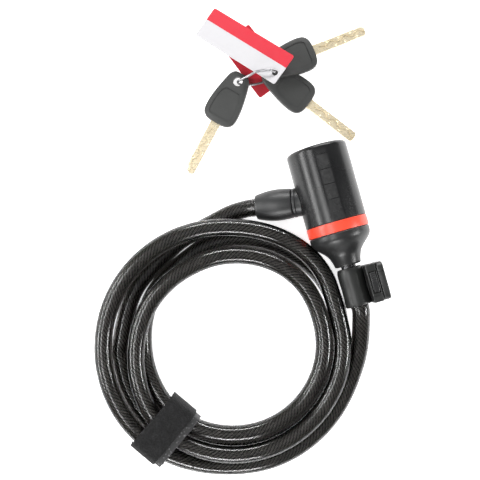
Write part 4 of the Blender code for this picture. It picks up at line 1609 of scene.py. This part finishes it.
@dataclass
class Studio:
    """Camera, floor and soft light."""

    layout: Layout
    height: float = 0.55
    focal_length: float = 59.2
    view_offset: Vector = field(default_factory=lambda: Vector((0.0056, 0.0732)))
    shift: float = 0.08
    frame_width: float = 0.3346
    floor_glow: float = 0.8
    floor_half: float = 3.0
    floor_drop: float = 0.0002
    sensor_width: float = 36.0
    world_strength: float = 0.12
    boxes: tuple[SoftBox, ...] = (
        SoftBox("barrel_softbox", (-0.32, -0.10, 0.60), (0.55, 0.15), 2.3, (0.05, 0.0, 0.0)),
        SoftBox("overhead_fill", (0.0, 0.0, 1.20), (1.0, 1.0), 1.0, (0.0, 0.0, 0.0)),
        SoftBox("far_box", (0.05, 0.80, 0.38), (0.80, 0.18), 8.5),
        SoftBox("left_box", (-0.80, 0.0, 0.38), (0.80, 0.18), 6.0),
        SoftBox("right_box", (0.80, -0.10, 0.42), (0.40, 0.20), 5.0),
        SoftBox("near_box", (-0.05, -0.85, 0.42), (0.40, 0.20), 5.0))

    def build(self) -> None:
        """Set the camera, the floor, the world and the lights."""
        self.add_camera()
        self.add_floor()
        self.add_world()
        for box in self.boxes:
            self.add_light(box)

    def add_camera(self) -> None:
        """The camera, straight above, with a small shift for the framing."""
        data = bpy.data.cameras.new("studio_camera")
        data.lens = self.focal_length
        data.sensor_width = self.sensor_width
        data.shift_y = self.shift
        camera = bpy.data.objects.new("studio_camera", data)
        drop = self.shift * self.frame_width
        camera.location = self.layout.coil + Vector((self.view_offset.x,
                                                     self.view_offset.y - drop, self.height))
        bpy.context.scene.collection.objects.link(camera)
        bpy.context.scene.camera = camera

    def add_floor(self) -> None:
        """A plain pale floor."""
        work = bmesh.new()
        bmesh.ops.create_grid(work, x_segments=1, y_segments=1, size=self.floor_half)
        floor = finish_mesh("studio_floor", work, Matrix.Translation((0, 0, -self.floor_drop)))
        made, shader, place = start_material("pale_floor")
        tone = add_node(made.node_tree, "ShaderNodeTexNoise", Vector=place, Scale=8.0)
        base = blend_colours(made.node_tree, tone.outputs["Fac"], (0.93, 0.93, 0.93),
                             (0.95, 0.95, 0.95))
        made.node_tree.links.new(base, shader.inputs["Base Color"])
        shader.inputs["Roughness"].default_value = 0.9
        shader.inputs["Specular IOR Level"].default_value = 0.1
        shader.inputs["Emission Color"].default_value = (1.0, 1.0, 1.0, 1.0)
        shader.inputs["Emission Strength"].default_value = self.floor_glow
        floor.data.materials.append(made)

    def add_world(self) -> None:
        """Even white surroundings."""
        world = bpy.data.worlds.new("studio_world")
        world.use_nodes = True
        background = world.node_tree.nodes["Background"]
        background.inputs["Color"].default_value = (1.0, 1.0, 1.0, 1.0)
        background.inputs["Strength"].default_value = self.world_strength
        bpy.context.scene.world = world
        bpy.context.scene.view_settings.view_transform = "Standard"

    @staticmethod
    def add_light(box: SoftBox) -> None:
        """Add a soft light.

        Args:
            box: the light's own values.
        """
        data = bpy.data.lights.new(box.name, "AREA")
        data.shape = "RECTANGLE"
        data.size, data.size_y = box.size
        data.energy = box.power
        light = bpy.data.objects.new(box.name, data)
        light.location = box.spot
        way = Vector(box.aim) - Vector(box.spot)
        light.rotation_euler = way.to_track_quat("-Z", "Y").to_euler()
        bpy.context.scene.collection.objects.link(light)


def main() -> None:
    """Build the scene round the frame."""
    logging.basicConfig(level=logging.INFO, format="%(name)s %(message)s")
    layout = Layout(frame["record"]["behaviour"]["joints"])
    finishes = Finishes()
    Studio(layout).build()
    Cable(layout, finishes).build()
    Strap(layout, finishes).build()
    LockHead(layout, finishes).build()
    Bracket(layout, finishes).build()
    KeyBunch(layout, finishes).build()


if __name__ == "__main__":
    main()
